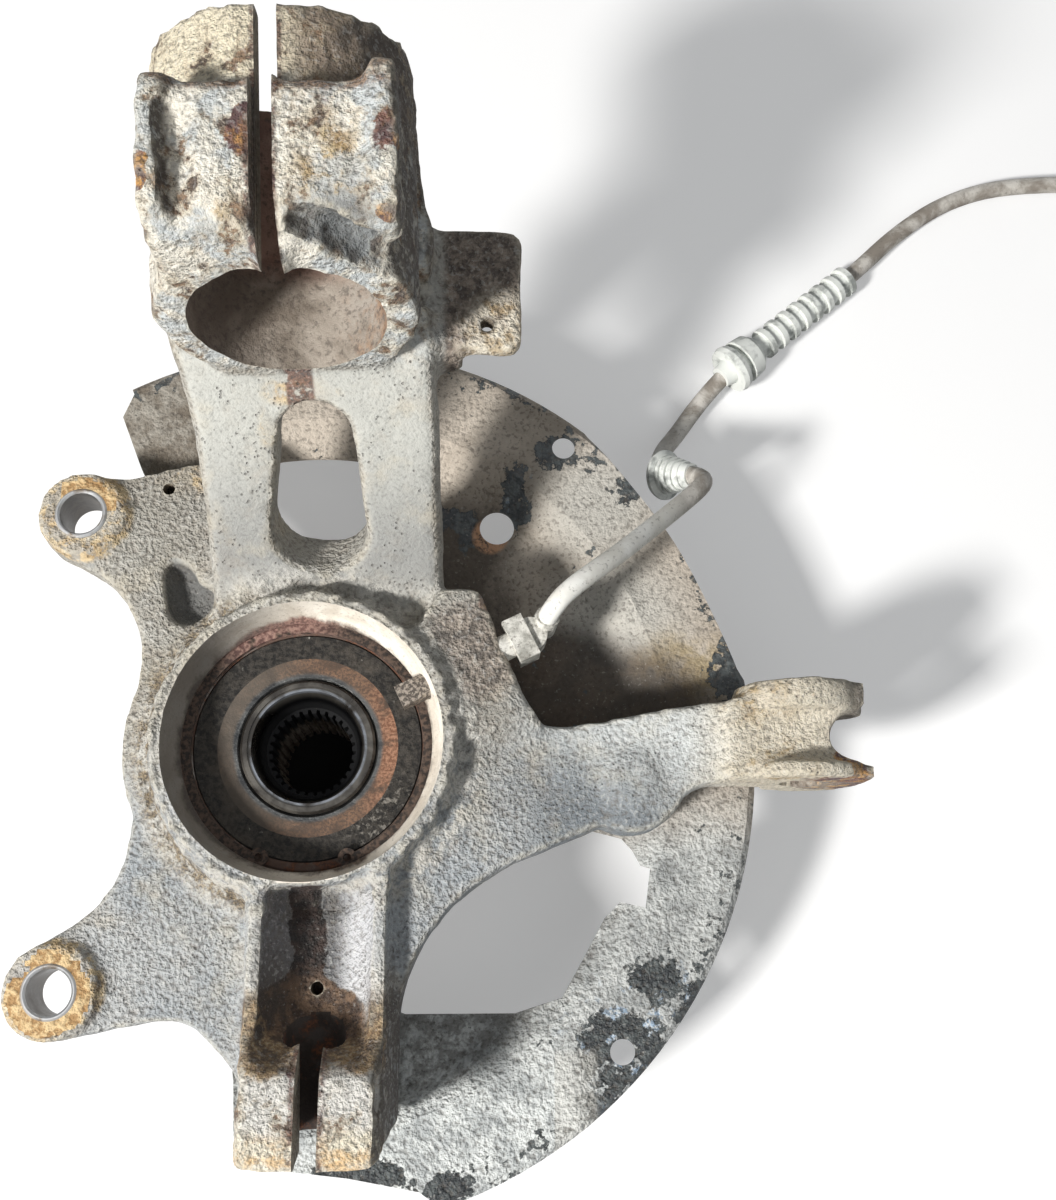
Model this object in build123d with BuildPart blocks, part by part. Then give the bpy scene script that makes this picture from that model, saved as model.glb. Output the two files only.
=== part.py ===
"""Front steering knuckle with wheel bearing, driven hub, dust shield and wheel-speed sensor.

Frame: millimetres, origin on the hub axis in the wheel mounting face. +Z points inboard,
along the hub axis; +Y points up in the car; +X points to the steering arm.
"""
import os
from math import atan2, cos, degrees, radians, sin, tan

from build123d import *

os.makedirs("parts", exist_ok=True)

# ---------------------------------------------------------------- driving dimensions
# wheel bearing
BEARING_OD = 83.0
BEARING_BORE = 45.0
BEARING_WIDTH = 45.0
BALL_D = 11.0
BALL_COUNT = 14
BALL_PITCH_SHIFT = 0.4
BALL_PITCH_R = (BEARING_OD + BEARING_BORE) / 4 + BALL_PITCH_SHIFT
BALL_ROW_OFFSET = 10.6
GROOVE_CLEARANCE = 0.15
INNER_SHOULDER_DROP = 2.4
OUTER_SHOULDER_RISE = 3.8
SEAL_SEAT_RISE = 2.0
CAGE_HALF_THICKNESS = 1.2
CAGE_WIDTH = 9.0
CAGE_OFFSET = 2.8
CAGE_POCKET_CLEARANCE = 0.2

# hub
FLANGE_R = 67.0
FLANGE_THICKNESS = 11.0
PILOT_R = 30.05
PILOT_HEIGHT = 8.0
PILOT_WALL = 5.0
HUB_SHOULDER_R = 29.0
HUB_SHOULDER_HEIGHT = 4.0
HUB_NOSE_STICKOUT = 1.0
WHEEL_PCD = 108.0
WHEEL_HOLE_R = 5.4
WHEEL_HOLE_COUNT = 5
SPLINE_MAJOR_R = 15.0
SPLINE_MINOR_R = 13.6
SPLINE_TEETH = 30
SPLINE_ENTRY_DEPTH = 13.0
NOSE_CONE_R = 18.9
NOSE_STEP_R = 20.2
NOSE_STEP_DEPTH = 0.7
NUT_POCKET_R = 20.0
NUT_POCKET_DEPTH = 6.0

# bearing housing of the casting
SEAT_SHOULDER_HEIGHT = 4.0
SEAT_SHOULDER_WIDTH = 1.5
HOUSING_WALL = 9.5
RIM_WALL = 8.0
RIM_HEIGHT = 18.0
RIM_LIP_WIDTH = 4.0
MOUTH_CHAMFER = 3.0
MOUTH_CLEARANCE = 2.0
RING_GROOVE_WIDTH = 2.2
RING_GROOVE_DEPTH = 2.2
RING_GROOVE_WALL = 1.4

# web with the caliper ears
WEB_BACK_Z = 44.0
WEB_THICKNESS = 14.0
WEB_R = 62.6
WEB_TOP_EDGE = ((0.0, 60.0), (-30.0, 102.0), (-44.0, 100.7), (-56.0, 97.9))
WEB_UPPER_SIDE = ((-73.5, 59.0), (-59.0, 37.0), (-60.0, 16.0))
WEB_WAIST = ((-WEB_R, -1.0), (-57.7, -22.0))
WEB_LOWER_SIDE = ((-61.5, -43.5), (-76.0, -59.0))
WEB_LOWER_EDGE = ((-53.0, -89.3), (-38.0, -88.3), (-27.5, -95.0), (-18.0, -107.0))
POCKET_OUTLINE = (
    (-52.6, 62.8), (-49.6, 65.0), (-44.7, 63.6), (-39.5, 56.2), (-32.5, 53.4), (-34.6, 48.4),
    (-39.3, 43.8), (-44.8, 41.9), (-49.7, 45.4),
)
POCKET_DEPTH = 8.5
POCKET_CORNER_R = 2.2
EAR_R = 15.3
EAR_UPPER = (-81.0, 80.4)
EAR_LOWER = (-78.5, -78.9)
EAR_PAD_RISE = 4.0
EAR_PAD_BACK = 1.5
SLEEVE_BORE_R = 7.3
SLEEVE_R = 8.9
SLEEVE_PROUD = 0.5

# neck and strut clamp
NECK_THICKNESS = 17.0
NECK_FOOT = (54.0, 70.0)
NECK_HEAD = (105.0, 134.0)
NECK_LEFT_EDGE = (
    (-34.2, 30.0), (-33.6, 60.0), (-33.6, 92.0), (-35.2, 102.5), (-38.5, 114.0), (-41.0, 126.0), (-41.0, 140.0),
)
NECK_RIGHT_EDGE = (
    (44.8, 30.0), (44.2, 60.0), (43.6, 85.0), (43.0, 103.0), (41.5, 120.0), (41.5, 140.0),
)
STRUT_R = 28.0
STRUT_WALL = 9.2
STRUT_ORIGIN = (2.0, 105.0, 163.0)
STRUT_TILT_X = -2.3
STRUT_TILT = 8.0
STRUT_LENGTH = 75.0
STRUT_MOUTH_TILT = 12.0
STRUT_SLOT = 6.0
LUG_LENGTH = 49.5
LUG_LEFT = -31.0
LUG_RIGHT = 34.5
LUG_RIM_WIDTH = 7.5
LUG_RIM_RISE = 3.2
LUG_RIM_TOPS = (51.0, 54.5)
LUG_COVER = 12.0
PINCH_R = 6.5
PINCH_WALL = 2.0
SIDE_RIB = (
    (22.0, 130.0), (41.5, 130.0), (42.2, 142.0), (40.3, 147.0), (38.0, 158.3), (36.1, 175.3), (34.6, 189.2),
    (32.5, 204.0), (22.0, 204.0),
)
SIDE_RIB_Z = (130.0, 152.0)

# lower column, trough and ball joint clamp
COLUMN_X = 6.8
COLUMN_HALF_WIDTH = 20.4
COLUMN_DRAFT = 7.0
COLUMN_FRONT_Z = 76.0
TROUGH_R = 17.5
CLAMP_FRONT_Z = 88.0
CLAMP_END_Y = -130.5
STUD_R = 8.75
STUD_TILT = 15.0
STUD_POINT = (-108.0, 64.5)
CLAMP_SLOT = 7.2
CLAMP_BOLT_R = 5.2

# steering arm
ARM_FRONT_Z = 67.0
ARM_BACK_Z = 47.0
ARM_BOSS = (107.5, -11.0)
ARM_BOSS_R = 17.5
ARM_PAD_R = 9.2
ARM_UNDER_EDGE = ((31.5, -88.0), (44.5, -57.0), (70.0, -37.5), (97.5, -26.0))
ARM_TOP_EDGE = ((150.0, 16.5), (120.0, 12.8), (99.0, 8.4), (86.0, 6.4), (40.0, 6.4))
EYE_X = 166.0
EYE_Z = 56.5
EYE_R = 23.0
EYE_BOTTOM_Y = -11.2
EYE_THICKNESS = 5.5
EYE_HOLE_R = 6.6
EYE_HOLE_TAPER_R = 7.4
EYE_FACE_R = 9.2
LOBE_R = 21.5
LOBE_TOP_Y = 22.0
LOBE_THICKNESS = 10.0
END_WEB_WAIST = ((186.0, 13.0), (177.5, 10.0), (174.0, 4.5), (175.0, -0.5), (181.5, -4.5), (188.0, -7.5))
END_WEB_BACK_X = 140.0
END_WEB_TOP = ((140.0, 15.6), (147.0, 17.0), (151.0, 22.0), (158.0, 22.0))
END_WEB_THICKNESS = 11.0

# wheel speed sensor
SENSOR_ANGLE = 26.5
SENSOR_ROD_R = 4.4
SENSOR_TIP_REACH = 34.0
SENSOR_TIP_LENGTH = 7.0
SENSOR_AIR_GAP = 0.45
SENSOR_FIT = 0.15
SENSOR_PAD_R = 74.3
SENSOR_TIP = (7.4, 7.0)
SENSOR_HEAD = (14.0, 15.0, 13.5)
PAD_OUTLINE = (
    (36.0, 40.0), (44.0, 52.5), (56.5, 52.3), (71.0, 17.0), (79.5, 4.0), (62.0, 0.0), (40.0, -4.0),
)
PAD_DROP = 5.0
TAB_OUTLINE = ((10.0, 112.0), (68.5, 110.5), (69.5, 151.5), (10.0, 151.5))
TAB_ROOT = ((10.0, 104.0), (52.0, 110.5), (36.0, 140.0), (10.0, 140.0))
TAB_BACK_Z = 127.0
TAB_THICKNESS = 7.0
TAB_HOLE = (58.3, 119.0)
TAB_HOLE_R = 2.1
CABLE_D = 6.8

# dust shield
SHIELD_R = 153.2
SHIELD_T = 1.2
SHIELD_INNER_Z = 35.0
SHIELD_OUTER_Z = 41.0
SHIELD_STEP_R = (112.0, 125.0)
SHIELD_HOUSING_CLEARANCE = 6.0
SHIELD_TOP_INNER_R = 111.0
SHIELD_RELIEF = 2.0
SCREW_R = 2.6
SCREW_CORE_R = 2.1
SCREW_HEAD_R = 5.5
SCREW_HEAD_HEIGHT = 2.6
SCREW_LENGTH = 13.0
SCREW_BOSS_R = 6.0
SHIELD_SCREWS = ((-52.3, 90.9), (6.0, -77.7), (76.0, -10.0))

# outline of the dust shield, where it isn't part of its round rim
SHIELD_DENT = (
    (12.0, 151.8), (17.0, 150.2), (24.0, 149.2), (32.0, 149.4), (40.0, 149.8), (46.0, 151.2),
    (51.0, 153.0),
)
SHIELD_FLAP = ((-71.0, 133.0), (-74.5, 124.0), (-66.0, 103.0), (-62.0, 95.0))
SHIELD_FLAP_INNER = (-41.6, 102.9)
SHIELD_TOP_ROOT = (34.0, 41.6)
SHIELD_BAY = (
    (62.0, -20.0), (90.0, -23.5), (98.3, -25.8), (106.9, -27.9), (110.4, -32.0), (113.0, -37.4),
    (116.2, -38.4), (114.2, -51.6), (105.8, -49.6), (100.6, -54.9), (92.0, -70.4), (85.7, -81.1),
    (70.0, -86.2), (33.0, -86.4), (17.0, -80.0),
)
SHIELD_FOOT = (
    (-24.0, -90.0), (-23.5, -105.0), (-20.0, -133.0), (16.0, -137.0), (39.0, -141.2),
)
SHIELD_DRAIN_ANGLES = (52.6356, -43.0057)
SHIELD_DRAIN_INSETS = (9.5146, 8.9335)
SHIELD_DRAIN_R = 4.2
SHIELD_PLUG_HOLE = (62.9, 84.8)
SHIELD_PLUG_HOLE_R = 6.3

# ---------------------------------------------------------------- derived levels
BEARING_BACK_Z = FLANGE_THICKNESS + HUB_SHOULDER_HEIGHT
BEARING_FRONT_Z = BEARING_BACK_Z + BEARING_WIDTH
HOUSING_BACK_Z = BEARING_BACK_Z - SEAT_SHOULDER_WIDTH
RIM_Z = BEARING_FRONT_Z + RIM_HEIGHT
GROOVE_BACK_Z = BEARING_FRONT_Z + 0.6
GROOVE_FRONT_Z = GROOVE_BACK_Z + RING_GROOVE_WIDTH
WEB_FRONT_Z = WEB_BACK_Z + WEB_THICKNESS
SEAT_R = BEARING_OD / 2
SEAT_SHOULDER_R = SEAT_R - SEAT_SHOULDER_HEIGHT
HOUSING_BACK_R = SEAT_R + HOUSING_WALL
RIM_R = SEAT_R + RIM_WALL
INNER_RING_OUTER_R = BALL_PITCH_R - INNER_SHOULDER_DROP
RACE_SHOULDER_R = BALL_PITCH_R + OUTER_SHOULDER_RISE
OUTER_RING_INNER_R = RACE_SHOULDER_R + SEAL_SEAT_RISE
SHIELD_HOUSING_R = HOUSING_BACK_R + SHIELD_HOUSING_CLEARANCE
HUB_NOSE_Z = BEARING_FRONT_Z + HUB_NOSE_STICKOUT
FLOOR_Z = -PILOT_HEIGHT


def save(solid, name):
    """Label one finished piece and write it as its own STEP file."""
    solid.label = name
    export_step(solid, f"parts/{name}.step")


def at_angle(radius, angle):
    """Point in the XY plane at a radius and an angle in degrees."""
    return (radius * cos(radians(angle)), radius * sin(radians(angle)))


# ---------------------------------------------------------------- casting: housing
with BuildPart() as housing:
    with BuildSketch(Plane.XZ):
        with BuildLine():
            Polyline(
                (0, HOUSING_BACK_Z),
                (HOUSING_BACK_R - 2, HOUSING_BACK_Z),
                (HOUSING_BACK_R, HOUSING_BACK_Z + 4),
                (HOUSING_BACK_R + 3, WEB_BACK_Z),
                (HOUSING_BACK_R + 7, WEB_FRONT_Z - 1),
                (RIM_R + 2.5, WEB_FRONT_Z + 6),
                (RIM_R, RIM_Z - 6),
                (RIM_R, RIM_Z - 1.2),
                (RIM_R - 1.2, RIM_Z),
                (0, RIM_Z),
                close=True,
            )
        make_face()
    revolve(axis=Axis.Z)

# ---------------------------------------------------------------- casting: caliper web
UPPER_X, UPPER_Y = EAR_UPPER
LOWER_X, LOWER_Y = EAR_LOWER
with BuildPart() as caliper_web:
    with BuildSketch(Plane.XY.offset(WEB_BACK_Z)):
        with BuildLine():
            Polyline(*WEB_TOP_EDGE[:3])
            Spline(
                *WEB_TOP_EDGE[2:], (UPPER_X + EAR_R, UPPER_Y + EAR_R - 0.4), (UPPER_X, UPPER_Y + EAR_R),
                tangents=((-1, -0.2), (-1, 0)),
            )
            upper_ear = CenterArc(EAR_UPPER, EAR_R, 90, 140)
            upper_side = Line(upper_ear @ 1, WEB_UPPER_SIDE[0])
            upper_hollow = ThreePointArc(*WEB_UPPER_SIDE)
            waist = ThreePointArc(upper_hollow @ 1, *WEB_WAIST)
            lower_hollow = ThreePointArc(waist @ 1, *WEB_LOWER_SIDE)
            lower_ear = CenterArc(EAR_LOWER, EAR_R, 135, 150)
            Line(lower_hollow @ 1, lower_ear @ 0)
            Spline(lower_ear @ 1, *WEB_LOWER_EDGE, tangents=(lower_ear % 1, (0.6, -1)))
            Polyline(WEB_LOWER_EDGE[-1], (0, WEB_LOWER_EDGE[-1][1]), WEB_TOP_EDGE[0])
        make_face()
    extrude(amount=WEB_THICKNESS)
    with BuildSketch(Plane.XY.offset(WEB_BACK_Z - EAR_PAD_BACK)):
        with Locations(EAR_UPPER, EAR_LOWER):
            Circle(EAR_R)
    extrude(amount=WEB_THICKNESS + EAR_PAD_BACK + EAR_PAD_RISE)

# ---------------------------------------------------------------- casting: neck
NECK_RUN = Vector(0, NECK_HEAD[0] - NECK_FOOT[0], NECK_HEAD[1] - NECK_FOOT[1])
NECK_DIR = NECK_RUN.normalized()
NECK_BACK = Vector(0, NECK_DIR.Z, -NECK_DIR.Y) * NECK_THICKNESS
with BuildPart() as neck:
    with BuildSketch(Plane.YZ.offset(NECK_LEFT_EDGE[-1][0] - 2)) as neck_side:
        with BuildLine():
            Polyline(
                (38, WEB_BACK_Z),
                (38, WEB_FRONT_Z + 4),
                (NECK_FOOT[0] - 5, NECK_FOOT[1] - 5),
                NECK_FOOT,
                NECK_HEAD,
                (NECK_HEAD[0] + 16, NECK_HEAD[1] + 8),
                (NECK_HEAD[0] + NECK_BACK.Y + 10, NECK_HEAD[1] + NECK_BACK.Z + 4),
                (NECK_HEAD[0] + NECK_BACK.Y, NECK_HEAD[1] + NECK_BACK.Z - 4),
                (NECK_FOOT[0] + NECK_BACK.Y + 2, NECK_FOOT[1] + NECK_BACK.Z - 2),
                (NECK_FOOT[0] + NECK_BACK.Y - 6, WEB_BACK_Z),
                close=True,
            )
        make_face()
        fillet(neck_side.vertices().sort_by_distance((*NECK_FOOT, 0))[:2], radius=6)
    extrude(amount=NECK_RIGHT_EDGE[0][0] - NECK_LEFT_EDGE[-1][0] + 4)
    with BuildSketch(Plane.XY):
        with BuildLine():
            Spline(*NECK_LEFT_EDGE)
            Spline(*NECK_RIGHT_EDGE)
            Line(NECK_LEFT_EDGE[0], NECK_RIGHT_EDGE[0])
            Line(NECK_LEFT_EDGE[-1], NECK_RIGHT_EDGE[-1])
        make_face()
    extrude(amount=200, mode=Mode.INTERSECT)
    fillet(neck.edges().filter_by(lambda e: e.length > 70 and abs(e.tangent_at(0.5).X) < 0.5), radius=4)

# ---------------------------------------------------------------- casting: strut clamp
strut_frame = Plane(
    origin=STRUT_ORIGIN,
    x_dir=(1, 0, 0),
    z_dir=(sin(radians(STRUT_TILT_X)), cos(radians(STRUT_TILT)), sin(radians(STRUT_TILT))),
)
STRUT_OUTER_R = STRUT_R + STRUT_WALL
PINCH_OFFSET = STRUT_R + PINCH_WALL + PINCH_R
LUG_REACH = PINCH_OFFSET + LUG_COVER
LUG_MID = LUG_LENGTH / 2 + 3
with BuildPart() as strut_clamp:
    with BuildSketch(Plane.XY.offset(-20)):
        Circle(STRUT_OUTER_R)
    extrude(amount=STRUT_LENGTH + 20)
    with BuildSketch(Plane.YZ.offset(LUG_LEFT)) as lug_side:
        with BuildLine():
            Polyline(
                (-STRUT_R + 4, -20),
                (-STRUT_OUTER_R - 1, -20),
                (-STRUT_OUTER_R - 3, 4),
                (-LUG_REACH, 16),
                (-LUG_REACH, LUG_LENGTH),
                (-STRUT_R + 4, LUG_LENGTH),
                close=True,
            )
        make_face()
        fillet(lug_side.vertices().sort_by(Axis.X)[:2], radius=7)
    extrude(amount=LUG_RIGHT - LUG_LEFT)
    for rim_start, rim_top in zip((LUG_LEFT, LUG_RIGHT - LUG_RIM_WIDTH), LUG_RIM_TOPS):
        with BuildSketch(Plane.YZ.offset(rim_start)) as lug_rim:
            with BuildLine():
                Polyline(
                    (-STRUT_R + 4, 2),
                    (-STRUT_OUTER_R + 2, 2),
                    (-LUG_REACH - LUG_RIM_RISE, 13),
                    (-LUG_REACH - LUG_RIM_RISE, rim_top),
                    (-STRUT_R + 4, rim_top),
                    close=True,
                )
            make_face()
            fillet(lug_rim.vertices().sort_by(Axis.X)[:2], radius=9)
        extrude(amount=LUG_RIM_WIDTH)
    with BuildSketch(Plane.XY.offset(-20)):
        Circle(STRUT_R)
    extrude(amount=STRUT_LENGTH + 20, mode=Mode.SUBTRACT)
    with BuildSketch(Plane.XY.offset(-20)):
        with Locations((0, -LUG_REACH)):
            Rectangle(STRUT_SLOT, 2 * LUG_REACH)
    extrude(amount=STRUT_LENGTH + 20, mode=Mode.SUBTRACT)
    with BuildSketch(Plane.YZ):
        with Locations((-PINCH_OFFSET, LUG_MID)):
            Circle(PINCH_R)
    extrude(amount=LUG_RIGHT + 5, both=True, mode=Mode.SUBTRACT)
    split(bisect_by=Plane(origin=(0, 0, 0), z_dir=(0, sin(radians(STRUT_MOUTH_TILT)),
                                                  cos(radians(STRUT_MOUTH_TILT)))), keep=Keep.TOP)

# ---------------------------------------------------------------- casting: lower column
with BuildPart() as column:
    with BuildSketch(Plane.XY.offset(CLAMP_FRONT_Z)):
        with Locations((COLUMN_X, -84)):
            Rectangle(2 * COLUMN_HALF_WIDTH, 104)
    extrude(amount=-(CLAMP_FRONT_Z - WEB_BACK_Z), taper=-COLUMN_DRAFT)
    with BuildSketch(Plane.YZ.offset(-40)) as column_side:
        with BuildLine():
            Polyline(
                (-36, WEB_BACK_Z),
                (-36, COLUMN_FRONT_Z),
                (-90, COLUMN_FRONT_Z),
                (-104, CLAMP_FRONT_Z),
                (CLAMP_END_Y, CLAMP_FRONT_Z),
                (CLAMP_END_Y + (CLAMP_FRONT_Z - WEB_BACK_Z) * tan(radians(STUD_TILT)), WEB_BACK_Z),
                close=True,
            )
        make_face()
        fillet(column_side.vertices().sort_by(Axis.X)[0], radius=4)
    extrude(amount=100, mode=Mode.INTERSECT)

with BuildPart() as trough:
    with BuildSketch(Plane.XZ.offset(34)):
        with Locations((COLUMN_X, COLUMN_FRONT_Z + 2)):
            Circle(TROUGH_R)
    extrude(amount=66)
    split(bisect_by=Plane(origin=(0, -86, 60), z_dir=(0, sin(radians(60)), cos(radians(60)))), keep=Keep.TOP)

stud_axis = (0, cos(radians(STUD_TILT)), sin(radians(STUD_TILT)))
stud_frame = Plane(origin=(COLUMN_X, *STUD_POINT), x_dir=(1, 0, 0), z_dir=stud_axis)
with BuildPart() as stud_cut:
    with BuildSketch(stud_frame.offset(-40)):
        Circle(STUD_R)
    extrude(amount=66)
    with BuildSketch(stud_frame.offset(-40)):
        with Locations((0, -25)):
            Rectangle(CLAMP_SLOT, 50)
    extrude(amount=66)
    with BuildSketch(Plane.YZ.offset(COLUMN_X)):
        with Locations((STUD_POINT[0], STUD_POINT[1] + STUD_R + CLAMP_BOLT_R + 0.5)):
            Circle(CLAMP_BOLT_R)
    extrude(amount=40, both=True)

# ---------------------------------------------------------------- casting: steering arm
BOSS_X, BOSS_Y = ARM_BOSS
with BuildPart() as arm:
    with BuildSketch(Plane.XY.offset(ARM_BACK_Z)):
        with BuildLine():
            under = ThreePointArc(*ARM_UNDER_EDGE[:3])
            to_boss = Line(under @ 1, ARM_UNDER_EDGE[3])
            boss_arc = CenterArc(ARM_BOSS, ARM_BOSS_R, 238, 102)
            Line(to_boss @ 1, boss_arc @ 0)
            neck_arc = Spline(boss_arc @ 1, (127, -14.5), (134, -11.4))
            Polyline(
                neck_arc @ 1, (ARM_TOP_EDGE[0][0], EYE_BOTTOM_Y), *ARM_TOP_EDGE,
                (20, 40), (0, 40), (0, -60), (20, ARM_UNDER_EDGE[0][1]), ARM_UNDER_EDGE[0],
            )
        make_face()
    extrude(amount=ARM_FRONT_Z - ARM_BACK_Z)
    with BuildSketch(Plane.XY.offset(ARM_FRONT_Z)):
        with Locations(ARM_BOSS):
            Circle(ARM_PAD_R)
    extrude(amount=1.2)

END_LEFT_X = END_WEB_BACK_X + 1.5
with BuildPart() as arm_end:
    with BuildSketch(Plane.XZ.offset(-EYE_BOTTOM_Y)):
        with Locations((EYE_X, EYE_Z)):
            Circle(EYE_R)
        with Locations(((END_LEFT_X + EYE_X) / 2, EYE_Z)):
            Rectangle(EYE_X - END_LEFT_X, 2 * LOBE_R - 15)
    extrude(amount=-EYE_THICKNESS)
    with BuildSketch(Plane.XZ.offset(-LOBE_TOP_Y + LOBE_THICKNESS)):
        with Locations((EYE_X, EYE_Z)):
            Circle(LOBE_R)
        with Locations(((END_WEB_TOP[2][0] + EYE_X) / 2, EYE_Z)):
            Rectangle(EYE_X - END_WEB_TOP[2][0], 2 * LOBE_R - 15)
    extrude(amount=-LOBE_THICKNESS)
    with BuildSketch(Plane.XY):
        Circle(SHIELD_R + SHIELD_RELIEF)
    extrude(amount=SHIELD_OUTER_Z + SHIELD_T + SHIELD_RELIEF, mode=Mode.SUBTRACT)
    with BuildSketch(Plane.XY.offset(ARM_FRONT_Z - END_WEB_THICKNESS + 3)):
        with BuildLine():
            waist_arc = Spline(*END_WEB_WAIST)
            Polyline(
                waist_arc @ 1, (END_WEB_WAIST[-1][0], EYE_BOTTOM_Y), (END_WEB_BACK_X, EYE_BOTTOM_Y),
                *END_WEB_TOP, (END_WEB_WAIST[0][0], LOBE_TOP_Y), waist_arc @ 0,
            )
        make_face()
    extrude(amount=END_WEB_THICKNESS)
    with BuildSketch(Plane.XY.offset(ARM_BACK_Z)):
        Polygon(
            (END_WEB_BACK_X, EYE_BOTTOM_Y), (ARM_TOP_EDGE[0][0], EYE_BOTTOM_Y),
            (ARM_TOP_EDGE[0][0], END_WEB_TOP[2][1] - 1), END_WEB_TOP[1], END_WEB_TOP[0], align=None,
        )
    extrude(amount=ARM_FRONT_Z - ARM_BACK_Z)

# ---------------------------------------------------------------- casting: sensor pad and bracket tab
PAD_FRONT_Z = RIM_Z - 5
with BuildPart() as sensor_pad:
    with BuildSketch(Plane.XY.offset(WEB_BACK_Z)) as pad_outline:
        Polygon(*PAD_OUTLINE, align=None)
        fillet(pad_outline.vertices().sort_by(Axis.Y)[-2:], radius=4)
    extrude(amount=PAD_FRONT_Z - WEB_BACK_Z)
    chamfer(sensor_pad.faces().sort_by(Axis.Z)[-1].edges().sort_by(Axis.Y)[:2], length=PAD_DROP)

with BuildPart() as bracket_tab:
    with BuildSketch(Plane.XY.offset(TAB_BACK_Z)) as tab_outline:
        Polygon(*TAB_OUTLINE, align=None)
        fillet(tab_outline.vertices().sort_by(Axis.X)[-2:], radius=4.5)
    extrude(amount=TAB_THICKNESS)
    with BuildSketch(Plane.XY.offset(TAB_BACK_Z - 10)):
        Polygon(*TAB_ROOT, align=None)
    extrude(amount=12)
    with BuildSketch(Plane.XY.offset(SIDE_RIB_Z[0])):
        Polygon(*SIDE_RIB, align=None)
    extrude(amount=SIDE_RIB_Z[1] - SIDE_RIB_Z[0])
    with BuildSketch(Plane.XY.offset(TAB_BACK_Z)):
        with Locations(TAB_HOLE):
            Circle(TAB_HOLE_R)
    extrude(amount=TAB_THICKNESS, mode=Mode.SUBTRACT)

# ---------------------------------------------------------------- casting: cuts
with BuildPart() as bearing_bore:
    with BuildSketch(Plane.XZ):
        with BuildLine():
            Polyline(
                (0, HOUSING_BACK_Z - 5),
                (SEAT_SHOULDER_R, HOUSING_BACK_Z - 5),
                (SEAT_SHOULDER_R, BEARING_BACK_Z),
                (SEAT_R, BEARING_BACK_Z),
                (SEAT_R, GROOVE_BACK_Z),
                (SEAT_R + RING_GROOVE_DEPTH, GROOVE_BACK_Z),
                (SEAT_R + RING_GROOVE_DEPTH, GROOVE_FRONT_Z),
                (SEAT_R, GROOVE_FRONT_Z),
                (SEAT_R, GROOVE_FRONT_Z + RING_GROOVE_WALL),
                (SEAT_R + MOUTH_CLEARANCE, GROOVE_FRONT_Z + RING_GROOVE_WALL + MOUTH_CHAMFER),
                (RIM_R - RIM_LIP_WIDTH, RIM_Z),
                (RIM_R - RIM_LIP_WIDTH, RIM_Z + 30),
                (0, RIM_Z + 30),
                close=True,
            )
        make_face()
    revolve(axis=Axis.Z)

window_center_u = 35.0
WINDOW_FRAME = Plane(
    origin=(4.5, NECK_FOOT[0] + NECK_DIR.Y * window_center_u, NECK_FOOT[1] + NECK_DIR.Z * window_center_u),
    x_dir=(1, 0, 0),
    z_dir=(0, -NECK_DIR.Z, NECK_DIR.Y),
)
with BuildPart() as window_cut:
    with BuildSketch(WINDOW_FRAME.offset(-40)):
        with Locations((-0.5, -15)):
            Circle(15.6)
        with Locations((0.5, 22)):
            Circle(11.5)
        make_hull()
    extrude(amount=60)

SENSOR_Z = GROOVE_FRONT_Z + SENSOR_AIR_GAP + SENSOR_ROD_R
sensor_dir = (cos(radians(SENSOR_ANGLE)), sin(radians(SENSOR_ANGLE)), 0)
sensor_frame = Plane(origin=(0, 0, SENSOR_Z), x_dir=(-sensor_dir[1], sensor_dir[0], 0), z_dir=sensor_dir)

with BuildPart() as knuckle_casting:
    add(housing)
    add(caliper_web)
    add(neck)
    add(strut_clamp.part.moved(strut_frame.location))
    add(column)
    add(arm)
    add(arm_end)
    add(sensor_pad)
    add(bracket_tab)
    for x, y in SHIELD_SCREWS:
        with BuildSketch(Plane.XY.offset(SHIELD_INNER_Z + SHIELD_T)):
            with Locations((x, y)):
                Circle(SCREW_BOSS_R)
        extrude(amount=WEB_BACK_Z - SHIELD_INNER_Z - SHIELD_T + 4)
    add(bearing_bore, mode=Mode.SUBTRACT)
    add(trough, mode=Mode.SUBTRACT)
    add(stud_cut, mode=Mode.SUBTRACT)
    add(window_cut, mode=Mode.SUBTRACT)
    with BuildSketch(strut_frame.offset(-10)):
        Circle(STRUT_R)
    extrude(amount=STRUT_LENGTH + 20, mode=Mode.SUBTRACT)
    with BuildSketch(Plane.XY.offset(WEB_BACK_Z - 5)):
        with Locations(EAR_UPPER, EAR_LOWER):
            Circle(SLEEVE_R)
    extrude(amount=WEB_THICKNESS + 20, mode=Mode.SUBTRACT)
    with BuildSketch(Plane.XY.offset(SHIELD_INNER_Z)):
        with Locations(SHIELD_SCREWS[:2]):
            Circle(SCREW_CORE_R)
    extrude(amount=60, mode=Mode.SUBTRACT)
    with BuildSketch(Plane.XY.offset(SHIELD_INNER_Z)):
        with Locations(SHIELD_SCREWS[2]):
            Circle(SCREW_CORE_R)
    extrude(amount=SCREW_LENGTH + 5, mode=Mode.SUBTRACT)
    with BuildSketch(Plane.XZ.offset(-EYE_BOTTOM_Y)):
        with Locations((EYE_X, EYE_Z)):
            Circle(EYE_HOLE_TAPER_R)
    extrude(amount=-EYE_THICKNESS, taper=(degrees(atan2(EYE_HOLE_TAPER_R - EYE_HOLE_R, EYE_THICKNESS))),
            mode=Mode.SUBTRACT)
    with BuildSketch(sensor_frame.offset(RIM_R - 12)):
        Circle(SENSOR_ROD_R + SENSOR_FIT)
    extrude(amount=SENSOR_PAD_R - RIM_R + 24, mode=Mode.SUBTRACT)
    with BuildSketch(Plane.XY.offset(WEB_FRONT_Z - POCKET_DEPTH)) as pocket:
        Polygon(*POCKET_OUTLINE, align=None)
        fillet(pocket.vertices(), radius=POCKET_CORNER_R)
    extrude(amount=POCKET_DEPTH + 4, mode=Mode.SUBTRACT)

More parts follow.
